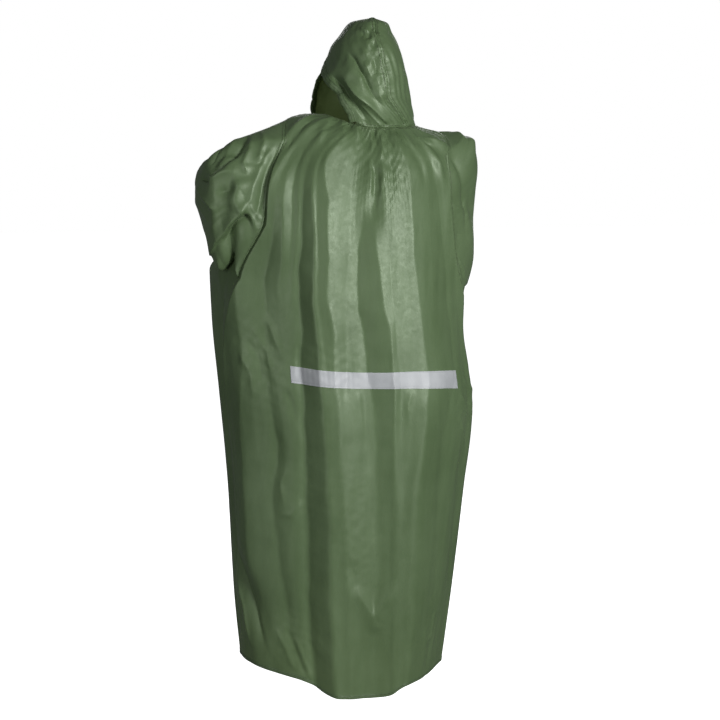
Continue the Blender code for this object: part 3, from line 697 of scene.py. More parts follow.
def seam_relief(distance, along, seed):
    """Height beside a sewn edge, from the distance to it and the place along it."""
    dip = 1 - bell(distance, DIP_WIDTH)
    turned_over = 0.5 - 0.5 * np.tanh((distance - SEAM_WIDTH) / 0.0014)
    stitch_dip = bell(distance - SEAM_WIDTH + STITCH_IN, 0.0009)
    phase = np.random.default_rng(seed).uniform(0, 6.3, 3)
    pucker = sum(
        np.sin(2 * np.pi * along / (PUCKER_LENGTH * part) + start)
        for part, start in zip(PUCKER_PARTS, phase)
    ) / 3
    puckered = pucker * bell(distance, PUCKER_REACH) * PUCKER_RISE
    return dip * (turned_over * SEAM_RISE - stitch_dip * STITCH_DEPTH + puckered)


# %% Rows of a panel and the turn at its hem
# up from the hem's edge and outward from the cloth, in millimetres: down the outside, round
# the edge and up the inside
HEM_SECTION = np.array((
    (12.5, 0.0), (11.0, 0.1), (10.0, 0.2), (9.2, -0.1), (8.0, 0.6), (6.0, 0.7), (4.0, 0.7),
    (2.2, 0.7), (1.0, 0.6), (0.3, 0.4), (0.0, -0.1), (0.3, -0.6), (1.0, -1.1), (4.0, -1.1),
    (10.0, -0.99),
)) / MILLIMETRES
# its last rows, which go round the edge and up the inside
HEM_UP_ROWS = 6
# along the cloth and outward from it at the turned neck edge
NECK_SECTION = np.array(((10.0, -1.1), (4.0, -1.1), (1.2, -0.99), (0.3, -0.6))) / MILLIMETRES
# the columns beside a seam lie close together, within this share of the row's width
SEAM_SHARE = 0.016
SEAM_COLUMNS = 7


def hem_rows(end, per_metre=1.0):
    """Places and lifts of the rows that go down to a hem, round it and back up inside."""
    return end - HEM_SECTION[:, 0] * per_metre, HEM_SECTION[:, 1]


def edge_shares(columns):
    """Shares of a row's width, closer together beside its two seams."""
    side = SEAM_SHARE * (np.arange(SEAM_COLUMNS) / SEAM_COLUMNS) ** 1.3
    middle = np.linspace(SEAM_SHARE, 1 - SEAM_SHARE, columns - 2 * SEAM_COLUMNS)
    return np.concatenate([side, middle, (1 - side)[::-1]])


def lengths_along(points, axis):
    """How far each point lies along its row or column, measured on the cloth."""
    steps = np.linalg.norm(np.diff(points, axis=axis), axis=-1)
    start = np.zeros_like(np.take(steps, [0], axis=axis))
    return np.cumsum(np.concatenate([start, steps], axis=axis), axis=axis)


# %% [markdown]
# ## One sheet of cloth
# Every panel is a grid of points. The faces join neighbours, the UV map holds real metres
# across and along the cloth, so that the weave keeps its size, and the attribute "sewn" holds
# how many millimetres a point lies from the nearest seam or hem, which places the stitches.

# %% Make a piece from a grid of points
FIRST = slice(0, -1)
NEXT = slice(1, None)
CORNERS = (FIRST, FIRST), (FIRST, NEXT), (NEXT, NEXT), (NEXT, FIRST)


def cloth_piece(name, points, sewn, closed=False):
    """A smooth sheet of cloth as one object."""
    rows, columns = points.shape[:2]
    index = np.arange(rows * columns).reshape(rows, columns)
    wrapped = points
    if closed:
        wrapped = np.concatenate([points, points[:, :1]], axis=1)
        index = np.concatenate([index, index[:, :1]], axis=1)
    across = lengths_along(wrapped, 1)
    across = across - across[:, -1:] / 2
    along = lengths_along(wrapped, 0)
    faces = np.stack([index[corner] for corner in CORNERS], axis=-1).reshape(-1, 4)
    mesh = bpy.data.meshes.new(name)
    mesh.from_pydata(points.reshape(-1, 3).tolist(), [], faces.tolist())
    places = np.stack([across, along], axis=-1)
    loops = np.stack([places[corner] for corner in CORNERS], axis=2).reshape(-1, 2)
    layer = mesh.uv_layers.new(name="cloth_metres")
    layer.data.foreach_set("uv", loops.astype(np.float32).reshape(-1))
    stitched = mesh.attributes.new("sewn", "FLOAT", "POINT")
    stitched.data.foreach_set("value", (sewn * MILLIMETRES).astype(np.float32).reshape(-1))
    mesh.shade_smooth()
    piece = bpy.data.objects.new(name, mesh)
    bpy.context.scene.collection.objects.link(piece)
    area = sum(face.area for face in mesh.polygons)
    print(f"{name}: {len(faces) * 2} triangles, {area:.3f} square metres")
    return piece


# %% [markdown]
# ## Back and front
# Both panels run from the neck seam to the hem. They share the points of their side seams and
# shoulder seams, and leave the armholes between them.

# %% Rows and columns of the body panels
NECK_ROWS = 26
ARMHOLE_ROWS = 118
SKIRT_ROWS = 214
BACK_COLUMNS = 256
FRONT_COLUMNS = 150
UNSEWN = 1.0
NECK_SEAM_REACH = 0.1


def evenly(start, end, count):
    """Places from start to just before end."""
    return np.linspace(start, end, count + 1)[:-1]


def body_rows():
    """Drops and lifts of all rows, with the neck edge turned in and the hem turned up."""
    hem, hem_lift = hem_rows(HEM_DROP)
    plain = np.concatenate([
        evenly(0, ARMHOLE_TOP, NECK_ROWS),
        evenly(ARMHOLE_TOP, ARMHOLE_BOTTOM, ARMHOLE_ROWS),
        evenly(ARMHOLE_BOTTOM, hem[0], SKIRT_ROWS),
    ])
    drops = np.concatenate([NECK_SECTION[:, 0], plain, hem])
    lifts = np.concatenate([NECK_SECTION[:, 1], np.zeros(len(plain)), hem_lift])
    return drops, lifts


ROW_DROPS, ROW_LIFTS = body_rows()
NECK_ROW = len(NECK_SECTION)
ARMHOLE_FIRST = NECK_ROW + NECK_ROWS
ARMHOLE_LAST = ARMHOLE_FIRST + ARMHOLE_ROWS


def body_panel(first, last, columns, seed):
    """Points of a panel between two seams, and its distance from the nearest sewn line."""
    share = edge_shares(columns)
    degrees = first[:, None] + (last - first)[:, None] * share
    drops = np.broadcast_to(ROW_DROPS[:, None], degrees.shape)
    points, direction = body(drops, degrees)
    run = lengths_along(points, 1)
    fall = lengths_along(points[NECK_ROW:], 0)
    fall = np.concatenate([np.repeat(fall[:1], NECK_ROW, axis=0), fall])
    to_last = run[:, -1:] - run
    lift = seam_relief(run, drops, seed) + seam_relief(to_last, drops, seed + 1)
    lift = lift + seam_relief(fall, run, seed + 2) * (drops < NECK_SEAM_REACH)
    outside = (ROW_LIFTS >= 0)[:, None]
    points = points + direction * (lift * outside + ROW_LIFTS[:, None])[..., None]
    to_hem = np.abs(fall[[-HEM_UP_ROWS]] - fall)
    sewn = np.minimum(np.minimum(run, to_last), np.minimum(fall, to_hem))
    return points, np.where(outside, sewn, UNSEWN)


# %% Points of the back and the front
SEAMS = ring_at(BODY, ROW_DROPS)
back_points, back_sewn = body_panel(SEAMS["right_seam"], SEAMS["left_seam"], BACK_COLUMNS, 21)
front_points, front_sewn = body_panel(
    SEAMS["left_seam"] + SEAMS["left_open"],
    SEAMS["right_seam"] - SEAMS["right_open"] + 360,
    FRONT_COLUMNS,
    31,
)
back_panel = cloth_piece("back_panel_cloth", back_points, back_sewn)
front_panel = cloth_piece("front_panel_cloth", front_points, front_sewn)

# %% [markdown]
# ## Sleeves
# A wide sleeve is a tube that starts at its armhole. Its first ring is the armhole's own edge,
# and the rings turn from facing outward to facing forward as they near the cuff, because both
# arms are held in front. A sleeve hangs from the arm, so it has its strongest creases at the
# elbow and below it.

# %% Rings of the sleeves
LEFT_SLEEVE = table("""
along x y z heading half_height half_depth square under_square lean
0 .245  -.01  -.13  10  .14  .11 2.2 2.2    0
1 .298  .002 -.136  25 .116 .085 2.3 3.6 .004
2 .336  -.01  -.16  45 .108 .066 2.2 3.8 .014
3 .345  -.07 -.174  76 .104 .054 2.1   3  .02
4 .332  -.15 -.176  98 .098 .048 2.1 2.2  .02
5 .308 -.235 -.174 106  .09 .046 2.1 2.1 .018
""")
RIGHT_SLEEVE = table("""
along x y z heading half_height half_depth square under_square lean
0  .19     0  -.21  10   .2   .1 2.6 2.6    0
1 .212 -.004 -.198  35  .19 .072 3.6 3.6 .009
2  .22 -.056   -.2  70 .186 .046 3.6 3.6 .009
3 .222  -.13 -.205  90  .17 .042 2.8 2.8 .004
4 .218   -.2  -.21  95 .156 .042 2.4 2.4    0
5 .208  -.27 -.215 100 .142 .044 2.2 2.2    0
""")
ARMHOLE_REACH = 1.6
# height of the pressed facets: the bent left arm crumples its sleeve more
FACETS = {1: 0.0026, -1: 0.0010}
CREASE_START = 0.6
SLEEVE_RADIUS = 0.100
SLEEVE_RING_STEP = 0.070
SLEEVE_SCALE = np.array([math.radians(1) * SLEEVE_RADIUS, SLEEVE_RING_STEP])
SLEEVE_ROWS = 150
# rows beside the armhole, in metres from it
SLEEVE_NEAR = np.array([0.0, 0.0016, 0.0032, 0.0050, 0.0066, 0.0084, 0.0110])
SLEEVE_FIRST = 0.0145


def sleeve_ring(rings, side, along, angle):
    """A point of the sleeve without its armhole: angle 0 is on top, 90 at the back."""
    ring = ring_at(rings, along)
    heading = np.radians(ring["heading"])
    bulge = rounded(angle, np.where(np.cos(angle) > 0, ring["square"], ring["under_square"]))
    beside = ring["half_depth"] * np.sin(angle) * bulge
    x = side * (ring["x"] + np.sin(heading) * beside + ring["lean"] * np.cos(angle))
    y = ring["y"] + np.cos(heading) * beside
    z = ring["z"] + ring["half_height"] * np.cos(angle) * bulge
    return np.stack([x, y, z], axis=-1)


# %% Creases of the sleeves, by degrees round the sleeve and ring number
LEFT_SLEEVE_CREASES = creases("""
30 .6, 40 1.4, 62 2.2 | 14 14 -10 | .5 .5
18 1.4, 30 2.1, 60 2.7 | 13 13 8 | .5 .5
70 .3, 84 .9, 120 1.3 | 14 14 9 | .5 .5
110 .5, 112 1.2, 118 2.1 | 14 14 -10 | .5 .5
176 .8, 166 1.6, 158 2.5, 160 4.2 | 34 34 24 | .4 .5
168 .3, 166 1.2, 152 2.4, 150 3.2 | 40 30 27 | .3 .4
300 1.6, 290 2.1, 250 2.6 | 14 14 -10 | .5 .5
60 3, 76 3.5, 100 4.1 | 12 12 -6 | .5 .5
200 3.4, 230 3.8, 260 4.4 | 12 12 6 | .5 .5
""")
RIGHT_SLEEVE_CREASES = creases("""
50 .2, 70 .9, 120 1.4 | 16 16 -12 | .5 .5
30 .6, 50 1.2, 90 1.8 | 14 14 8 | .5 .5
130 .8, 120 1.5, 105 2.3 | 14 14 7 | .5 .5
300 .9, 290 1.6, 250 2.4 | 14 14 -9 | .5 .5
70 2.6, 84 3.2, 100 3.9 | 14 14 -6 | .5 .5
200 3, 230 3.6, 255 4.3 | 13 13 6 | .5 .5
""")

# %% Finer creases of the sleeves
LEFT_SLEEVE_FINE = creases("""
# the long fold from the shoulder over the elbow to the cuff
24 .25, 46 .34, 70 .36, 94 .48, 104 .7, 114 1.2, 118 1.95, 122 2.7 | 10 15 7.5 | .15 .2
# the recess between it and the armhole
26 .08, 54 .12, 76 .14, 98 .2, 120 .4 | 7 8 -10 | .25 .3
# the hollow above the elbow
84 .8, 90 1.3, 88 1.8 | 16 16 -10 | .4 .4
# the deep crease along the top of the arm
2 .95, 24 1.02, 46 1.12, 60 1.45, 65 2.1 | 10 4 -13 | .25 .2
0 1.25, 26 1.3, 46 1.45, 54 1.8 | 6 6 4 | .3 .3
4 1.6, 24 1.65, 40 1.85, 48 2.2 | 5 7 -4 | .3 .3
# crescents at the elbow
66 2.2, 70 1.72, 68 1.36, 68 1.1, 78 .92 | 6 10 8 | .2 .4
56 2.6, 64 2.2, 72 1.9 | 4 6 -11 | .3 .3
64 2.9, 82 2.5, 98 2.1, 108 1.65 | 6 10 8.5 | .3 .3
76 2.8, 92 2.4, 106 2 | 6 7 -4 | .3 .3
90 2.9, 106 2.5, 114 2.2 | 5 6 4 | .3 .3
# creases that fan from the shoulder
8 .7, 26 .54, 52 .46 | 4 10 8 | .3 .15
14 .9, 36 .8, 56 .82, 68 .62 | 4 8 7 | .3 .15
30 .44, 42 .4, 58 .4 | 5 5 -5 | .3 .3
# below the long fold
99 .5, 114 .85, 130 1.49, 131 1.93, 136 2.43, 143 3 | 16 3 13 | .15 .2
110 .45, 124 .85, 139 1.4, 141 1.85 | 5 26 -22 | .15 .35
99 .5, 107 .3, 114 .12 | 3 3 2.5 | .2 .2
148 2, 149 2.4, 152 2.9 | 16 22 17 | .35 .5
10 2, 24 2.7, 40 3.6 | 6 10 -5 | .3 .4
80 3.2, 96 3.8, 120 4.5 | 6 10 5 | .3 .4
200 .6, 210 1.4, 230 2.4 | 8 12 5 | .3 .4
240 1, 256 1.8, 280 2.4 | 8 12 -5 | .3 .4
320 .6, 312 1.6, 300 2.4 | 8 12 5 | .3 .4
340 2.2, 330 3.2, 320 4.4 | 7 11 -4.5 | .3 .4
270 3, 262 3.8, 250 4.6 | 7 11 4.5 | .3 .4
""")
RIGHT_SLEEVE_FINE = creases("""
# the peak at the shoulder's outer end
30 1, 40 1.2, 46 1.34 | 16 16 13 | .5 .3
0 .8, 20 1, 38 1.16 | 10 14 5 | .3 .2
# the dark crescent below the shoulder and its crisp upper edge
14 .1, 32 .34, 54 .52, 84 .66, 108 .6 | 14 6 -13 | .2 .4
356 .14, 18 .14, 32 .42, 40 .6 | 6 5 6 | .2 .3
# a thin fold across the sleeve
68 .05, 80 .52, 92 .98 | 3 4 3 | .1 .2
100 .1, 104 .5, 112 .9 | 6 8 -4 | .2 .4
124 .1, 132 .32, 140 .5 | 4 5 4.5 | .2 .3
134 .05, 146 .26, 152 .5 | 4 5 -4 | .2 .3
140 .2, 144 .9, 140 1.6 | 7 12 4 | .3 .4
60 1.2, 80 1.6, 110 1.8 | 7 12 -4 | .3 .4
150 1.4, 142 2.2, 130 3 | 7 12 -4 | .3 .4
40 2, 56 2.8, 70 3.8 | 7 12 4 | .3 .4
200 .6, 212 1.4, 230 2.4 | 8 12 4 | .3 .4
250 .8, 262 1.6, 280 2.4 | 8 12 -4 | .3 .4
320 .6, 312 1.6, 300 2.4 | 8 12 4 | .3 .4
340 2.2, 330 3.2, 320 4.4 | 7 11 -3.5 | .3 .4
""")


# %% Make both sleeves
def armhole_edge(back_edge, front_edge):
    """The armhole: down its back edge and up its front edge."""
    rows = slice(ARMHOLE_FIRST, ARMHOLE_LAST + 1)
    return np.concatenate([back_edge[rows], front_edge[rows][::-1][1:-1]])


def sleeve_rows(rings):
    """Places and lifts of all rings of points, from the armhole to the turned cuff."""
    cuff, cuff_lift = hem_rows(rings["along"][-1], 1 / SLEEVE_RING_STEP)
    plain = evenly(SLEEVE_FIRST / SLEEVE_RING_STEP, cuff[0], SLEEVE_ROWS)
    along = np.concatenate([SLEEVE_NEAR / SLEEVE_RING_STEP, plain, cuff])[:, None]
    flat = np.zeros(len(SLEEVE_NEAR) + len(plain))
    return along, np.concatenate([flat, cuff_lift])[:, None], cuff[1 - HEM_UP_ROWS]


def sleeve_height(creased, side, along, angle, seed):
    """Height of a sleeve's creases and crumple. The crumple fades where the tube closes."""
    main, fine = creased
    degrees = np.degrees(angle)
    around = angle * SLEEVE_RADIUS
    metres = along * SLEEVE_RING_STEP
    height = crease_height(main, SLEEVE_SCALE, degrees, along, crisp=False)
    height = height * ease(along / CREASE_START)
    height = height + crease_height(fine, SLEEVE_SCALE, degrees, along) * ease(along / 0.2)
    small = waves(around, metres, 0.022, 0.034, seed) * 0.0009
    small = small + crumple(around, metres, 0.010, 0.016, seed + 1) * 0.0007
    small = small + crumple(around, metres, 0.030, 0.042, seed + 3) * FACETS[side]
    closing = ease((np.pi - np.abs(angle - np.pi)) / 0.3)
    return height + small * closing * ease(along / 0.3)


def sleeve(rings, creased, side, edge, seed):
    """Points of a sleeve from its armhole to its turned cuff, and its sewn distances."""
    angle = np.linspace(0, 2 * np.pi, len(edge) + 1)[:-1]
    along, lifts, cuff_edge = sleeve_rows(rings)
    points = sleeve_ring(rings, side, along, angle)
    left_over = edge - sleeve_ring(rings, side, 0.0, angle)
    points = points + left_over * (1 - ease(along / ARMHOLE_REACH))[..., None]
    away = unit(points - points.mean(axis=1, keepdims=True))
    height = sleeve_height(creased, side, along, angle, seed)
    run = np.broadcast_to(along * SLEEVE_RING_STEP, height.shape)
    round_edge = np.broadcast_to(angle, height.shape) * 0.13
    height = height + seam_relief(run, round_edge, seed + 2) * (along < 1)
    points = points + away * (height + lifts)[..., None]
    to_cuff = np.abs(cuff_edge - along) * SLEEVE_RING_STEP
    return points, np.where(lifts >= 0, np.minimum(run, to_cuff), UNSEWN)


left_points, left_sewn = sleeve(
    LEFT_SLEEVE, (LEFT_SLEEVE_CREASES, LEFT_SLEEVE_FINE), 1,
    armhole_edge(back_points[:, -1], front_points[:, 0]), 41,
)
right_points, right_sewn = sleeve(
    RIGHT_SLEEVE, (RIGHT_SLEEVE_CREASES, RIGHT_SLEEVE_FINE), -1,
    armhole_edge(back_points[:, 0], front_points[:, -1]), 51,
)
sleeve_left = cloth_piece(
    "sleeve_left_cloth", left_points[:, ::-1], left_sewn[:, ::-1], closed=True
)
sleeve_right = cloth_piece("sleeve_right_cloth", right_points, right_sewn, closed=True)

# %% [markdown]
# ## Hood
# The hood has a left and a right half, sewn along the middle of the head. The wearer looks to
# the left, so the hood is turned and its face opening is seen from the side. Creases run from
# the crown down to the neck, where the hood is gathered into the neck seam.

# %% Rings of the hood, by degrees from its middle seam
HOOD = table("""
rise x y z left right back front square turn near opening
  0    0    0   .01 .106 .112 .098  .11 2.1 -40  68 152
 .6 .008    0   .04 .106 .108 .108 .176 2.1 -28  60 120
1.2 .012    0  .075 .106 .104 .114  .19 2.1 -16  61 108
  2 .014    0  .115   .1 .098 .116 .175 2.1 -13  80  85
2.8 .011    0  .155 .083 .088  .11 .122 2.1  -8 110  42
3.4 .009    0   .19 .075 .076   .1 .106 2.1  -4 143   0
  4 .005 .002   .22 .057 .058 .082 .088   2   0 166   0
4.5 .001 .004 .2425 .042 .042 .062  .06   2   1 177   0
  5    0 .004 .2545    0    0 .034 .032   2   2 180   0
""")
OPENING_TOP = 3.4
CROWN = 5.0
HOOD_RADIUS = 0.105
HOOD_RING_STEP = 0.052
HOOD_SCALE = np.array([math.radians(1) * HOOD_RADIUS, HOOD_RING_STEP])
MIDDLE_ANGLE = 10
MIDDLE_WIDTH = 17
HOOD_CREASES = creases("""
55 3.1, 30 2.05, 16 .6 | 9 9 -7 | .5 .5
77 2.3, 56 1.3, 47 .25 | 14 14 -12 | .5 .5
54 1.8, 38 1.05, 24 .25 | 11 11 7 | .5 .5
-28 3.2, -28 1.6, -24 .4 | 10 10 -4 | .5 .5
-60 3, -66 1.8, -60 .5 | 14 14 -6 | .5 .5
-110 2.6, -112 1.6, -100 .5 | 14 14 6 | .5 .5
""")
HOOD_FINE = creases("""
56 3.12, 43 2.76, 31 2.06, 23 1.38, 17 .7 | 3 6 -6.5 | .2 .3
48 2.9, 36 2.2, 29 1.6 | 6 4 2.5 | .3 .4
77 2.2, 60 1.46, 52 .8, 48 .2 | 4 10 -7 | .2 .2
60 2.1, 46 1.4, 34 .8, 26 .1 | 4 8 6 | .3 .1
40 1.1, 32 .6, 28 .05 | 3 4 -2.5 | .3 .1
46 1, 40 .5, 36 .05 | 3 4 2.5 | .3 .1
29 2.7, 23 2.2, 19 1.8 | 3 6 2.8 | .3 .4
14 2.9, 12 2.3, 16 2 | 4 6 -2.5 | .3 .4
34 3.96, 22 3.72, 8 3.66 | 3 5 -5.5 | .3 .3
40 4.16, 26 4.02, 12 3.98 | 3 5 5 | .3 .3
14 4.28, 4 4.1, -10 3.84 | 3 6 -7.5 | .3 .3
16 1.6, 12 .9, 8 .1 | 4 6 3 | .3 .1
10 1.2, 6 .6, 4 .05 | 4 5 -2.8 | .3 .1
22 .9, 18 .4, 16 .02 | 4 4 2.6 | .3 .1
-8 3.6, -11 2.4, -10 1.2, -6 .05 | 4 7 2.8 | .3 .1
-14 3.2, -16 1.9, -13 .8, -10 .05 | 4 6 -2.6 | .3 .1
-20 3.6, -22 2.2, -18 1, -14 .05 | 4 8 3 | .3 .1
-34 2.9, -32 1.6, -26 .6, -22 .05 | 5 7 2.8 | .3 .1
-42 3.2, -42 2, -34 .8, -30 .05 | 5 7 -2.8 | .3 .1
-50 2.6, -50 1.4, -42 .3 | 6 8 3 | .3 .2
-76 3.2, -80 2, -78 .8 | 8 12 3.5 | .3 .3
-92 2.4, -96 1.4, -90 .4 | 7 10 -3 | .3 .2
-126 2, -122 1.2, -114 .4 | 7 10 -3 | .3 .2
""")
print("hood creases:", len(HOOD_CREASES) + len(HOOD_FINE))


# %% The hood's surface
def hood_ring(rise, degrees):
    """A point of the hood above its neck, on a level ring."""
    ring = ring_at(HOOD, rise)
    angle = np.radians(degrees)
    side = np.sin(angle)
    along = np.cos(angle)
    bulge = rounded(angle, ring["square"])
    sideways = np.where(side > 0, ring["left"], ring["right"]) * side * bulge
    lengthways = np.where(along > 0, ring["back"], ring["front"]) * along * bulge
    turn = np.radians(ring["turn"])
    x = ring["x"] + sideways * np.cos(turn) + lengthways * np.sin(turn)
    y = ring["y"] - sideways * np.sin(turn) + lengthways * np.cos(turn)
    return np.stack([x, y, ring["z"]], axis=-1)


def plain_hood(rise, degrees):
    """A point of the hood without creases. Its lowest ring is the neck of the body."""
    rise, degrees = paired(rise, degrees)
    start = np.zeros_like(rise)
    neck = plain_body(start, degrees + HOOD["turn"][0])
    left_over = neck - hood_ring(start, degrees)
    return hood_ring(rise, degrees) + left_over * (1 - ease(rise))[..., None]


def hood(rise, degrees):
    """A point of the worn hood, and its outward direction."""
    rise, degrees = paired(rise, degrees)
    direction = -outward(plain_hood, rise, degrees, 0.02)
    height = crease_height(HOOD_CREASES, HOOD_SCALE, degrees, rise, crisp=False)
    height = height * ease(rise / 0.3) * ease((CROWN - rise) / 0.6)
    fine = crease_height(HOOD_FINE, HOOD_SCALE, degrees, rise)
    around = np.radians(degrees) * HOOD_RADIUS
    up = rise * HOOD_RING_STEP
    near_neck = bell(rise, 0.5)
    by_seam = bell(degrees - MIDDLE_ANGLE, MIDDLE_WIDTH) * ease(rise / 0.8)
    small = 0.0005 + 0.0010 * near_neck + 0.0016 * by_seam
    fine = fine + waves(around, up, 0.016, 0.050, 61) * 0.0005
    fine = fine + crumple(around, up, 0.006, 0.012, 62) * small
    fine = fine + crumple(around, up, 0.016, 0.030, 63) * (0.0010 + 0.0016 * by_seam)
    height = height + fine * ease(rise / 0.12) * ease((CROWN - rise) / 0.35)
    return plain_hood(rise, degrees) + direction * height[..., None], direction


# %% Make both halves of the hood
HOOD_ROWS_BESIDE = 96
HOOD_ROWS_CROWN = 44
HOOD_COLUMNS = 110


def hood_half(side, seed):
    """Points of one half of the hood from the middle seam to its front edge."""
    to_crown = np.linspace(1, 0, HOOD_ROWS_CROWN + 1) ** 1.25
    rises = np.concatenate([
        evenly(0, OPENING_TOP, HOOD_ROWS_BESIDE),
        CROWN - (CROWN - OPENING_TOP) * to_crown,
    ])[:, None]
    ring = ring_at(HOOD, rises)
    to_edge = ring["near"] if side > 0 else ring["near"] + ring["opening"] - 360
    points, direction = hood(rises, to_edge * edge_shares(HOOD_COLUMNS))
    run = lengths_along(points, 1)
    rise_on_cloth = lengths_along(points, 0)
    lift = seam_relief(run, rise_on_cloth, seed) + seam_relief(rise_on_cloth, run, seed + 1)
    closed_front = rises > OPENING_TOP
    lift = lift + seam_relief(run[:, -1:] - run, rise_on_cloth, seed + 2) * closed_front
    lift = lift * ease((rise_on_cloth[-1:] - rise_on_cloth) / 0.006)
    points = points + direction * lift[..., None]
    return points, direction, np.minimum(run, rise_on_cloth)


hood_left_points, hood_left_out, hood_left_sewn = hood_half(1, 71)
hood_right_points, hood_right_out, hood_right_sewn = hood_half(-1, 81)
hood_left = cloth_piece("hood_left_cloth", hood_left_points[::-1], hood_left_sewn[::-1])
hood_right = cloth_piece(
    "hood_right_cloth", hood_right_points[::-1, ::-1], hood_right_sewn[::-1, ::-1]
)

# %% [markdown]
# ## Drawcord tunnel
# The face opening is edged with a tunnel: a strip folded over a cord and stitched down. The
# cord makes it round in the middle, and drawing it up leaves small puckers across the tunnel.
# The cord itself stays out of sight, so it is no piece of the model.

# %% Make the tunnel round the face opening
TUNNEL_WIDTH = 0.016
TUNNEL_FIRST = 5
TUNNEL_STITCH = 0.0012
# onward from the hood's edge and outward from its surface, in millimetres, round the tunnel
TUNNEL_SECTION = np.array((
    (-1.8, 0.3), (-1.2, 0.9), (0.2, 1.1), (1.2, 0.7), (2.2, 0.9), (4.5, 1.5), (7.5, 2.0),
    (10.5, 2.0), (13.0, 1.4), (15.0, 0.5), (16.0, -0.7), (15.2, -2.0), (12.5, -2.6),
    (9.0, -2.7), (5.5, -2.4), (2.6, -1.9), (1.0, -1.5), (-1.0, -1.3),
)) / MILLIMETRES


def tunnel():
    """Rings of points round the tunnel, along the opening from right to left."""
    rows = slice(TUNNEL_FIRST, HOOD_ROWS_BESIDE + 1)
    edge, out = (
        np.concatenate([right[rows, -1], left[rows, -1][::-1][1:]])
        for right, left in (
            (hood_right_points, hood_left_points),
            (hood_right_out, hood_left_out),
        )
    )
    tangent = unit(np.gradient(edge, axis=0))
    onward = unit(np.cross(tangent, out))
    out = unit(np.cross(onward, tangent))
    run = lengths_along(edge, 0)[:, None]
    pucker = waves(run, np.arange(len(TUNNEL_SECTION))[None, :], 0.0022, 1.6, 91) * 0.00035
    middle = np.sin(np.pi * np.clip(TUNNEL_SECTION[:, 0] / TUNNEL_WIDTH, 0, 1))
    reach = TUNNEL_SECTION[:, 0] + pucker * 0.4
    height = TUNNEL_SECTION[:, 1] + pucker * (0.3 + middle)
    return edge[:, None] + onward[:, None] * reach[..., None] + out[:, None] * height[..., None]


tunnel_points = tunnel()
tunnel_sewn = np.abs(TUNNEL_SECTION[:, 0] - TUNNEL_STITCH)
tunnel_sewn = np.broadcast_to(tunnel_sewn, tunnel_points.shape[:2])
hood_tunnel = cloth_piece("hood_tunnel", tunnel_points, tunnel_sewn, closed=True)

# %% [markdown]
# ## Reflective band
# A silver grey retroreflective tape, 40 mm wide, is sewn flat across the back. It follows the
# folds, but it is stiffer than the cloth, so it lies a little proud and its edges are crisp.
# The cloth is drawn together towards its left end, so its upper edge dips there.

# %% Make the reflective band
BAND_TOP = 0.552
BAND_BOTTOM = 0.592
BAND_FIRST = -44.0
BAND_LAST = 36.67
BAND_CLEAR = 0.0012
BAND_DRAWN = 0.009
BAND_STITCH = 0.0030


def band():
    """Points of the tape, turned down on all four edges."""
    along = np.concatenate([[0, 0.004], np.linspace(0.010, 0.990, 17), [0.996, 1]])[:, None]
    across = np.concatenate([[0, 0.0006], np.linspace(0.002, 0.998, 260), [0.9994, 1]])
    degrees = BAND_FIRST + (BAND_LAST - BAND_FIRST) * across
    drawn = BAND_DRAWN * ((degrees - BAND_FIRST) / (BAND_LAST - BAND_FIRST)) ** 2
    drops = BAND_TOP + (BAND_BOTTOM - BAND_TOP) * along + drawn * (1 - 0.8 * along)
    points, direction = body(drops, degrees)
    lift = np.full(points.shape[:2], BAND_CLEAR)
    lift[[0, -1], :] = 0.0
    lift[:, [0, -1]] = 0.0
    inner = np.minimum(np.abs(drops - BAND_TOP), np.abs(drops - BAND_BOTTOM))
    lift = lift - 0.0004 * bell(inner - BAND_STITCH, 0.0008)
    run = lengths_along(points, 1)
    sewn = np.minimum(inner, np.minimum(run, run[:, -1:] - run))
    return points + direction * lift[..., None], sewn


band_points, band_sewn = band()
reflective_band = cloth_piece("reflective_band", band_points, band_sewn)

# %% [markdown]
# ## Materials
# Colours are given as the sRGB hex values a designer would use, and one function turns them
# into the linear values that the shader works with.

# %% Helpers for materials
# how fast the phase of the wave texture grows at a scale of one, by its direction
WAVE_AXIS = 20
WAVE_DIAGONAL = 10


def linear(hex_colour):
    """A linear colour with alpha from an sRGB hex value."""
    parts = [int(hex_colour[place:place + 2], 16) / 255 for place in (1, 3, 5)]
    return (
        *[part / 12.92 if part <= 0.04045 else ((part + 0.055) / 1.055) ** 2.4 for part in parts],
        1.0,
    )


def node(tree, kind, settings=None, inputs=None):
    """Adds a node with its settings. An input is a number, a colour or another node's socket."""
    made = tree.nodes.new(kind)
    for name, value in (settings or {}).items():
        setattr(made, name, value)
    for name, value in (inputs or {}).items():
        if isinstance(value, bpy.types.NodeSocket):
            tree.links.new(value, made.inputs[name])
        else:
            made.inputs[name].default_value = value
    return made


def new_material(name):
    """An empty node material and its shader."""
    made = bpy.data.materials.new(name)
    made.use_nodes = True
    tree = made.node_tree
    return made, tree, tree.nodes["Principled BSDF"]


def noise(tree, vector, scale, detail, **more):
    """Cloudy noise. A larger scale makes smaller clouds."""
    inputs = {"Vector": vector, "Scale": scale, "Detail": detail, **more}
    return node(tree, "ShaderNodeTexNoise", inputs=inputs).outputs["Fac"]


def worked_out(tree, operation, *values):
    """One step of arithmetic."""
    made = node(tree, "ShaderNodeMath", {"operation": operation}, dict(enumerate(values)))
    return made.outputs[0]


def from_to(tree, value, low, high, to_low, to_high):
    """A value that lies between low and high, moved to between two others."""
    names = ("Value", "From Min", "From Max", "To Min", "To Max")
    inputs = dict(zip(names, (value, low, high, to_low, to_high)))
    return node(tree, "ShaderNodeMapRange", inputs=inputs).outputs[0]


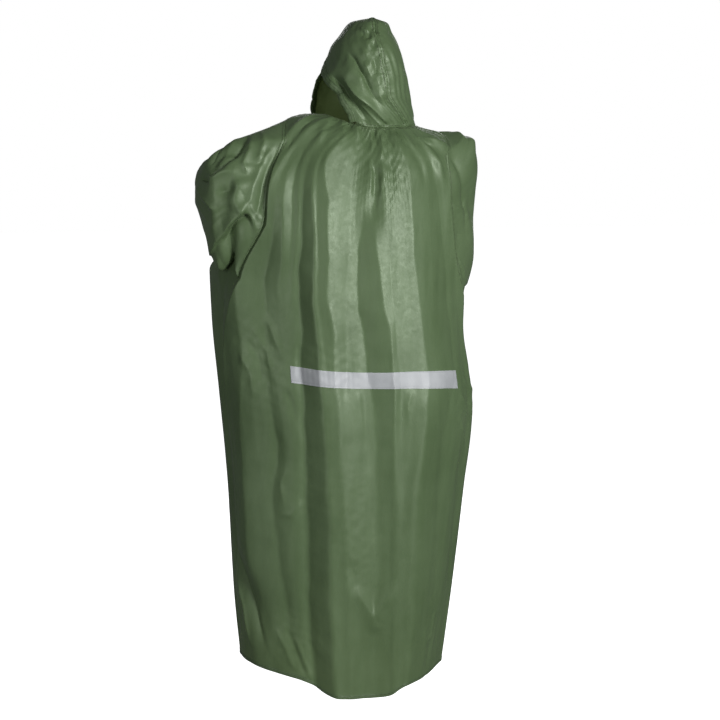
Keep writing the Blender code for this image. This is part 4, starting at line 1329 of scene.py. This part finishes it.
def bands(tree, vector, direction, repeat):
    """Stripes that repeat every so many metres, along an axis or on the diagonal."""
    settings = {"wave_type": "BANDS", "bands_direction": direction}
    scale = 2 * math.pi / repeat / (WAVE_DIAGONAL if direction == "DIAGONAL" else WAVE_AXIS)
    inputs = {"Vector": vector, "Scale": scale, "Distortion": 0.0}
    return node(tree, "ShaderNodeTexWave", settings, inputs).outputs["Fac"]


def bump(tree, height, strength, distance, inverted=False, **normal):
    """A bump over the normal of another one, if there is one."""
    inputs = {"Height": height, "Strength": strength, "Distance": distance, **normal}
    return node(tree, "ShaderNodeBump", {"invert": inverted}, inputs).outputs["Normal"]


def tinted(tree, factor, stops, mark, mark_colour):
    """A colour ramp between stops of (place, colour), with a mark of another colour on it."""
    ramp = node(tree, "ShaderNodeValToRGB", inputs={"Fac": factor})
    for element, (place, colour) in zip(ramp.color_ramp.elements, stops):
        element.position = place
        element.color = linear(colour)
    inputs = {0: mark, 6: ramp.outputs["Color"], 7: linear(mark_colour)}
    return node(tree, "ShaderNodeMix", {"data_type": "RGBA"}, inputs).outputs[2]


def line_beside_seam(tree, distance, half_width, strength):
    """A line at so many millimetres from the nearest sewn edge."""
    sewn = node(tree, "ShaderNodeAttribute", {"attribute_name": "sewn"}).outputs["Fac"]
    away = worked_out(tree, "ABSOLUTE", worked_out(tree, "SUBTRACT", sewn, distance))
    return from_to(tree, away, 0.2, half_width, strength, 0.0)


def object_place(tree):
    """The place in the object's own coordinates."""
    return node(tree, "ShaderNodeTexCoord").outputs["Object"]


# %% [markdown]
# The cloth is polyester taffeta, a plain weave of fine filaments with a polyurethane coating
# on its inner face. The filaments give it a satin sheen that is broader than a plastic's
# gloss. Its threads are about 0.2 mm apart, too fine to show, so the weave is drawn at 1.1 mm
# and very shallow. Small dents of 4 to 20 mm break up the sheen, as they do on real taffeta,
# and the dye is a little uneven. A stitched line follows each seam and hem.

# %% Coated polyester taffeta, woven and dyed olive green
THREAD_SPACING = 0.0011
STITCH_REPEAT = 0.012
STREAK_SCALE = (1.0, 0.16, 1.0)


def coated_taffeta(name, light, dark):
    """Woven and coated cloth. The sewn attribute places its stitches."""
    made, tree, shader = new_material(name)
    uv = node(tree, "ShaderNodeUVMap", {"uv_map": "cloth_metres"}).outputs["UV"]
    place = object_place(tree)
    streaked = node(tree, "ShaderNodeMapping", inputs={"Vector": uv, "Scale": STREAK_SCALE})
    streaked = streaked.outputs["Vector"]
    # colour, with darker thread where a stitch lies
    tone = noise(tree, place, 7.0, 4.0, Roughness=0.55)
    streaks = noise(tree, streaked, 60.0, 3.0, Roughness=0.5)
    dye = worked_out(tree, "MULTIPLY_ADD", streaks, 0.45, tone)
    line = line_beside_seam(tree, 6.1, 0.9, 1.0)
    stitches = bands(tree, uv, "DIAGONAL", STITCH_REPEAT)
    thread = worked_out(tree, "MULTIPLY", line, from_to(tree, stitches, 0.2, 0.5, 0.35, 1.0))
    colour = tinted(tree, dye, ((0.50, dark), (0.95, light)), thread, "#39422C")
    # relief: dents, then the weave, then the sunk stitches
    dents = noise(tree, place, 95.0, 5.0, Roughness=0.55, Distortion=0.4)
    folds = node(
        tree, "ShaderNodeTexVoronoi", {"feature": "SMOOTH_F1"},
        {"Vector": streaked, "Scale": 34.0, "Smoothness": 0.6},
    ).outputs["Distance"]
    soft = bump(tree, worked_out(tree, "MULTIPLY_ADD", folds, 0.35, dents), 0.14, 0.0012)
    warp, weft = (bands(tree, uv, direction, THREAD_SPACING) for direction in "XY")
    weave = worked_out(tree, "MULTIPLY", warp, weft)
    fine = bump(tree, weave, 0.12, 0.0002, Normal=soft)
    sunk = bump(tree, thread, 0.5, 0.0006, inverted=True, Normal=fine)
    for socket, value in (
        ("Base Color", colour),
        ("Normal", sunk),
        ("Roughness", from_to(tree, dents, 0.35, 0.7, 0.42, 0.52)),
    ):
        tree.links.new(value, shader.inputs[socket])
    shader.inputs["IOR"].default_value = 1.45
    shader.inputs["Metallic"].default_value = 0.10
    shader.inputs["Sheen Weight"].default_value = 0.08
    shader.inputs["Sheen Roughness"].default_value = 0.4
    shader.inputs["Sheen Tint"].default_value = linear("#B9C8A4")
    # the cloth is thin, so a little of the light behind it shows through
    inputs = {"Color": linear("#8C9F5C"), "Normal": fine}
    through = node(tree, "ShaderNodeBsdfTranslucent", inputs=inputs).outputs[0]
    thin = node(tree, "ShaderNodeMixShader", inputs={0: 0.09, 1: shader.outputs[0], 2: through})
    tree.links.new(thin.outputs[0], tree.nodes["Material Output"].inputs["Surface"])
    return made


taffeta = coated_taffeta("coated_polyester_taffeta", "#5E7250", "#526644")
print("cloth material:", taffeta.name)

# %% [markdown]
# Retroreflective tape is a grey fabric covered with glass beads. By soft light it looks matt
# and pale grey, with a fine grain and slightly darker rubbed places.

# %% Retroreflective tape, bead coated
def bead_tape(name):
    """Pale grey tape with a fine grain and a stitched line round its edge."""
    made, tree, shader = new_material(name)
    place = object_place(tree)
    grain = noise(tree, place, 900.0, 2.0)
    rubbed = noise(tree, place, 22.0, 4.0)
    both = worked_out(tree, "MULTIPLY_ADD", grain, 0.3, rubbed)
    line = line_beside_seam(tree, 3.0, 0.8, 0.55)
    colour = tinted(tree, both, ((0.45, "#9B9EA0"), (0.85, "#A9ACAE")), line, "#8C9092")
    tree.links.new(colour, shader.inputs["Base Color"])
    tree.links.new(bump(tree, both, 0.25, 0.0002), shader.inputs["Normal"])
    shader.inputs["Roughness"].default_value = 0.45
    shader.inputs["IOR"].default_value = 1.5
    return made


reflective = bead_tape("retroreflective_bead_tape")

# %% [markdown]
# ## Put the pieces on the frame
# Each piece takes its material, rides on the one body and stands for its solids, which are
# hidden.
# Its row also names a slot and gives the cut sizes of the flat panels before they are sewn, but
# neither is used.

# %% Give every piece its material, hang it on the body and hide its solids
CLOTH = ("coated_taffeta", taffeta)
TAPE = ("reflective_tape", reflective)
PIECES = (
    (back_panel, ("back_yoke", "back_middle", "back_skirt"), CLOTH, (0.84, 1.36)),
    (front_panel, ("front_yoke", "front_middle", "front_skirt"), CLOTH, (0.86, 1.36)),
    (sleeve_left, ("sleeve_left",), CLOTH, (0.62, 0.42)),
    (sleeve_right, ("sleeve_right",), CLOTH, (0.78, 0.42)),
    (hood_left, ("hood_left",), CLOTH, (0.20, 0.33)),
    (hood_right, ("hood_right",), CLOTH, (0.38, 0.33)),
    (hood_tunnel, ("hood_casing",), CLOTH, (0.030, 0.44)),
    (reflective_band, ("reflective_strip",), TAPE, (0.042, 0.41)),
)
for piece, stands_for, (slot, finish), flat in PIECES:
    piece.data.materials.append(finish)
    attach(piece, "root")
    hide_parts(*stands_for)
print("pieces:", len(PIECES))

# %% [markdown]
# ## Floor and light
# The floor is plain and pale, below the open hem at the height where the wearer would stand.
# A tall, narrow soft light at the right of the camera gives each strip of cloth its own tone,
# because the coating mirrors it where a strip faces halfway to it. Weaker lights from the left,
# the right and the front keep the shadows open.

# %% Add the floor
FLOOR_HEIGHT = -1.49
bpy.ops.mesh.primitive_plane_add(size=60, location=(0, 0, FLOOR_HEIGHT))
floor = bpy.context.object
floor.name = "pale_floor"
floor.visible_diffuse = False
floor.visible_glossy = False
floor_finish, floor_tree, floor_shader = new_material("pale_floor_paint")
floor_shader.inputs["Base Color"].default_value = linear("#E4E4E4")
floor_shader.inputs["Roughness"].default_value = 0.9
floor_shader.inputs["Emission Color"].default_value = linear("#FFFFFF")
floor_shader.inputs["Emission Strength"].default_value = 1.05
floor.data.materials.append(floor_finish)
floor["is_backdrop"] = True

# %% Add the lights
# name, place, target, width, height, watts
LIGHTS = (
    ("key", (-0.92, 2.72, 0.30), (0, 0, -0.3), 0.6, 1.5, 91),
    ("left", (2.5, 1.9, -0.2), (0, 0, -0.7), 0.7, 1.6, 19),
    ("right", (-2.3, 1.3, 0.7), (0, 0, -0.2), 0.6, 1.0, 2),
    ("front", (-0.9, -2.9, 0.3), (0, 0, -0.6), 2.0, 2.0, 34),
)
for name, spot, target, width, height, watts in LIGHTS:
    bpy.ops.object.light_add(type="AREA")
    light = bpy.context.object
    light.name = name
    light.data.shape = "RECTANGLE"
    light.data.size = width
    light.data.size_y = height
    light.data.energy = watts
    looking_at(light, spot, target)

# %% Add the studio's pale surroundings
world = bpy.data.worlds.new("pale_studio")
world.use_nodes = True
studio = world.node_tree
lighting, seen = (
    node(studio, "ShaderNodeBackground", inputs={"Color": linear(colour), "Strength": strength})
    for colour, strength in (("#F4F7FF", 0.12), ("#FFFFFF", 1.0))
)
camera_ray = node(studio, "ShaderNodeLightPath").outputs["Is Camera Ray"]
inputs = {0: camera_ray, 1: lighting.outputs[0], 2: seen.outputs[0]}
mixed = node(studio, "ShaderNodeMixShader", inputs=inputs)
studio.links.new(mixed.outputs[0], studio.nodes["World Output"].inputs["Surface"])
bpy.context.scene.world = world
bpy.context.scene.view_settings.view_transform = "Standard"

# %% [markdown]
# ## Size
# Both boxes are printed: that of the solids near the top, and that of the visible cloth here.
# The visible cloth must stay in the space of the solids, so both boxes are written out.

# %% Write the sizes and finish
cloth_box = [list(corner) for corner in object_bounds()]
print("visual box:", [[round(value, 3) for value in corner] for corner in cloth_box])
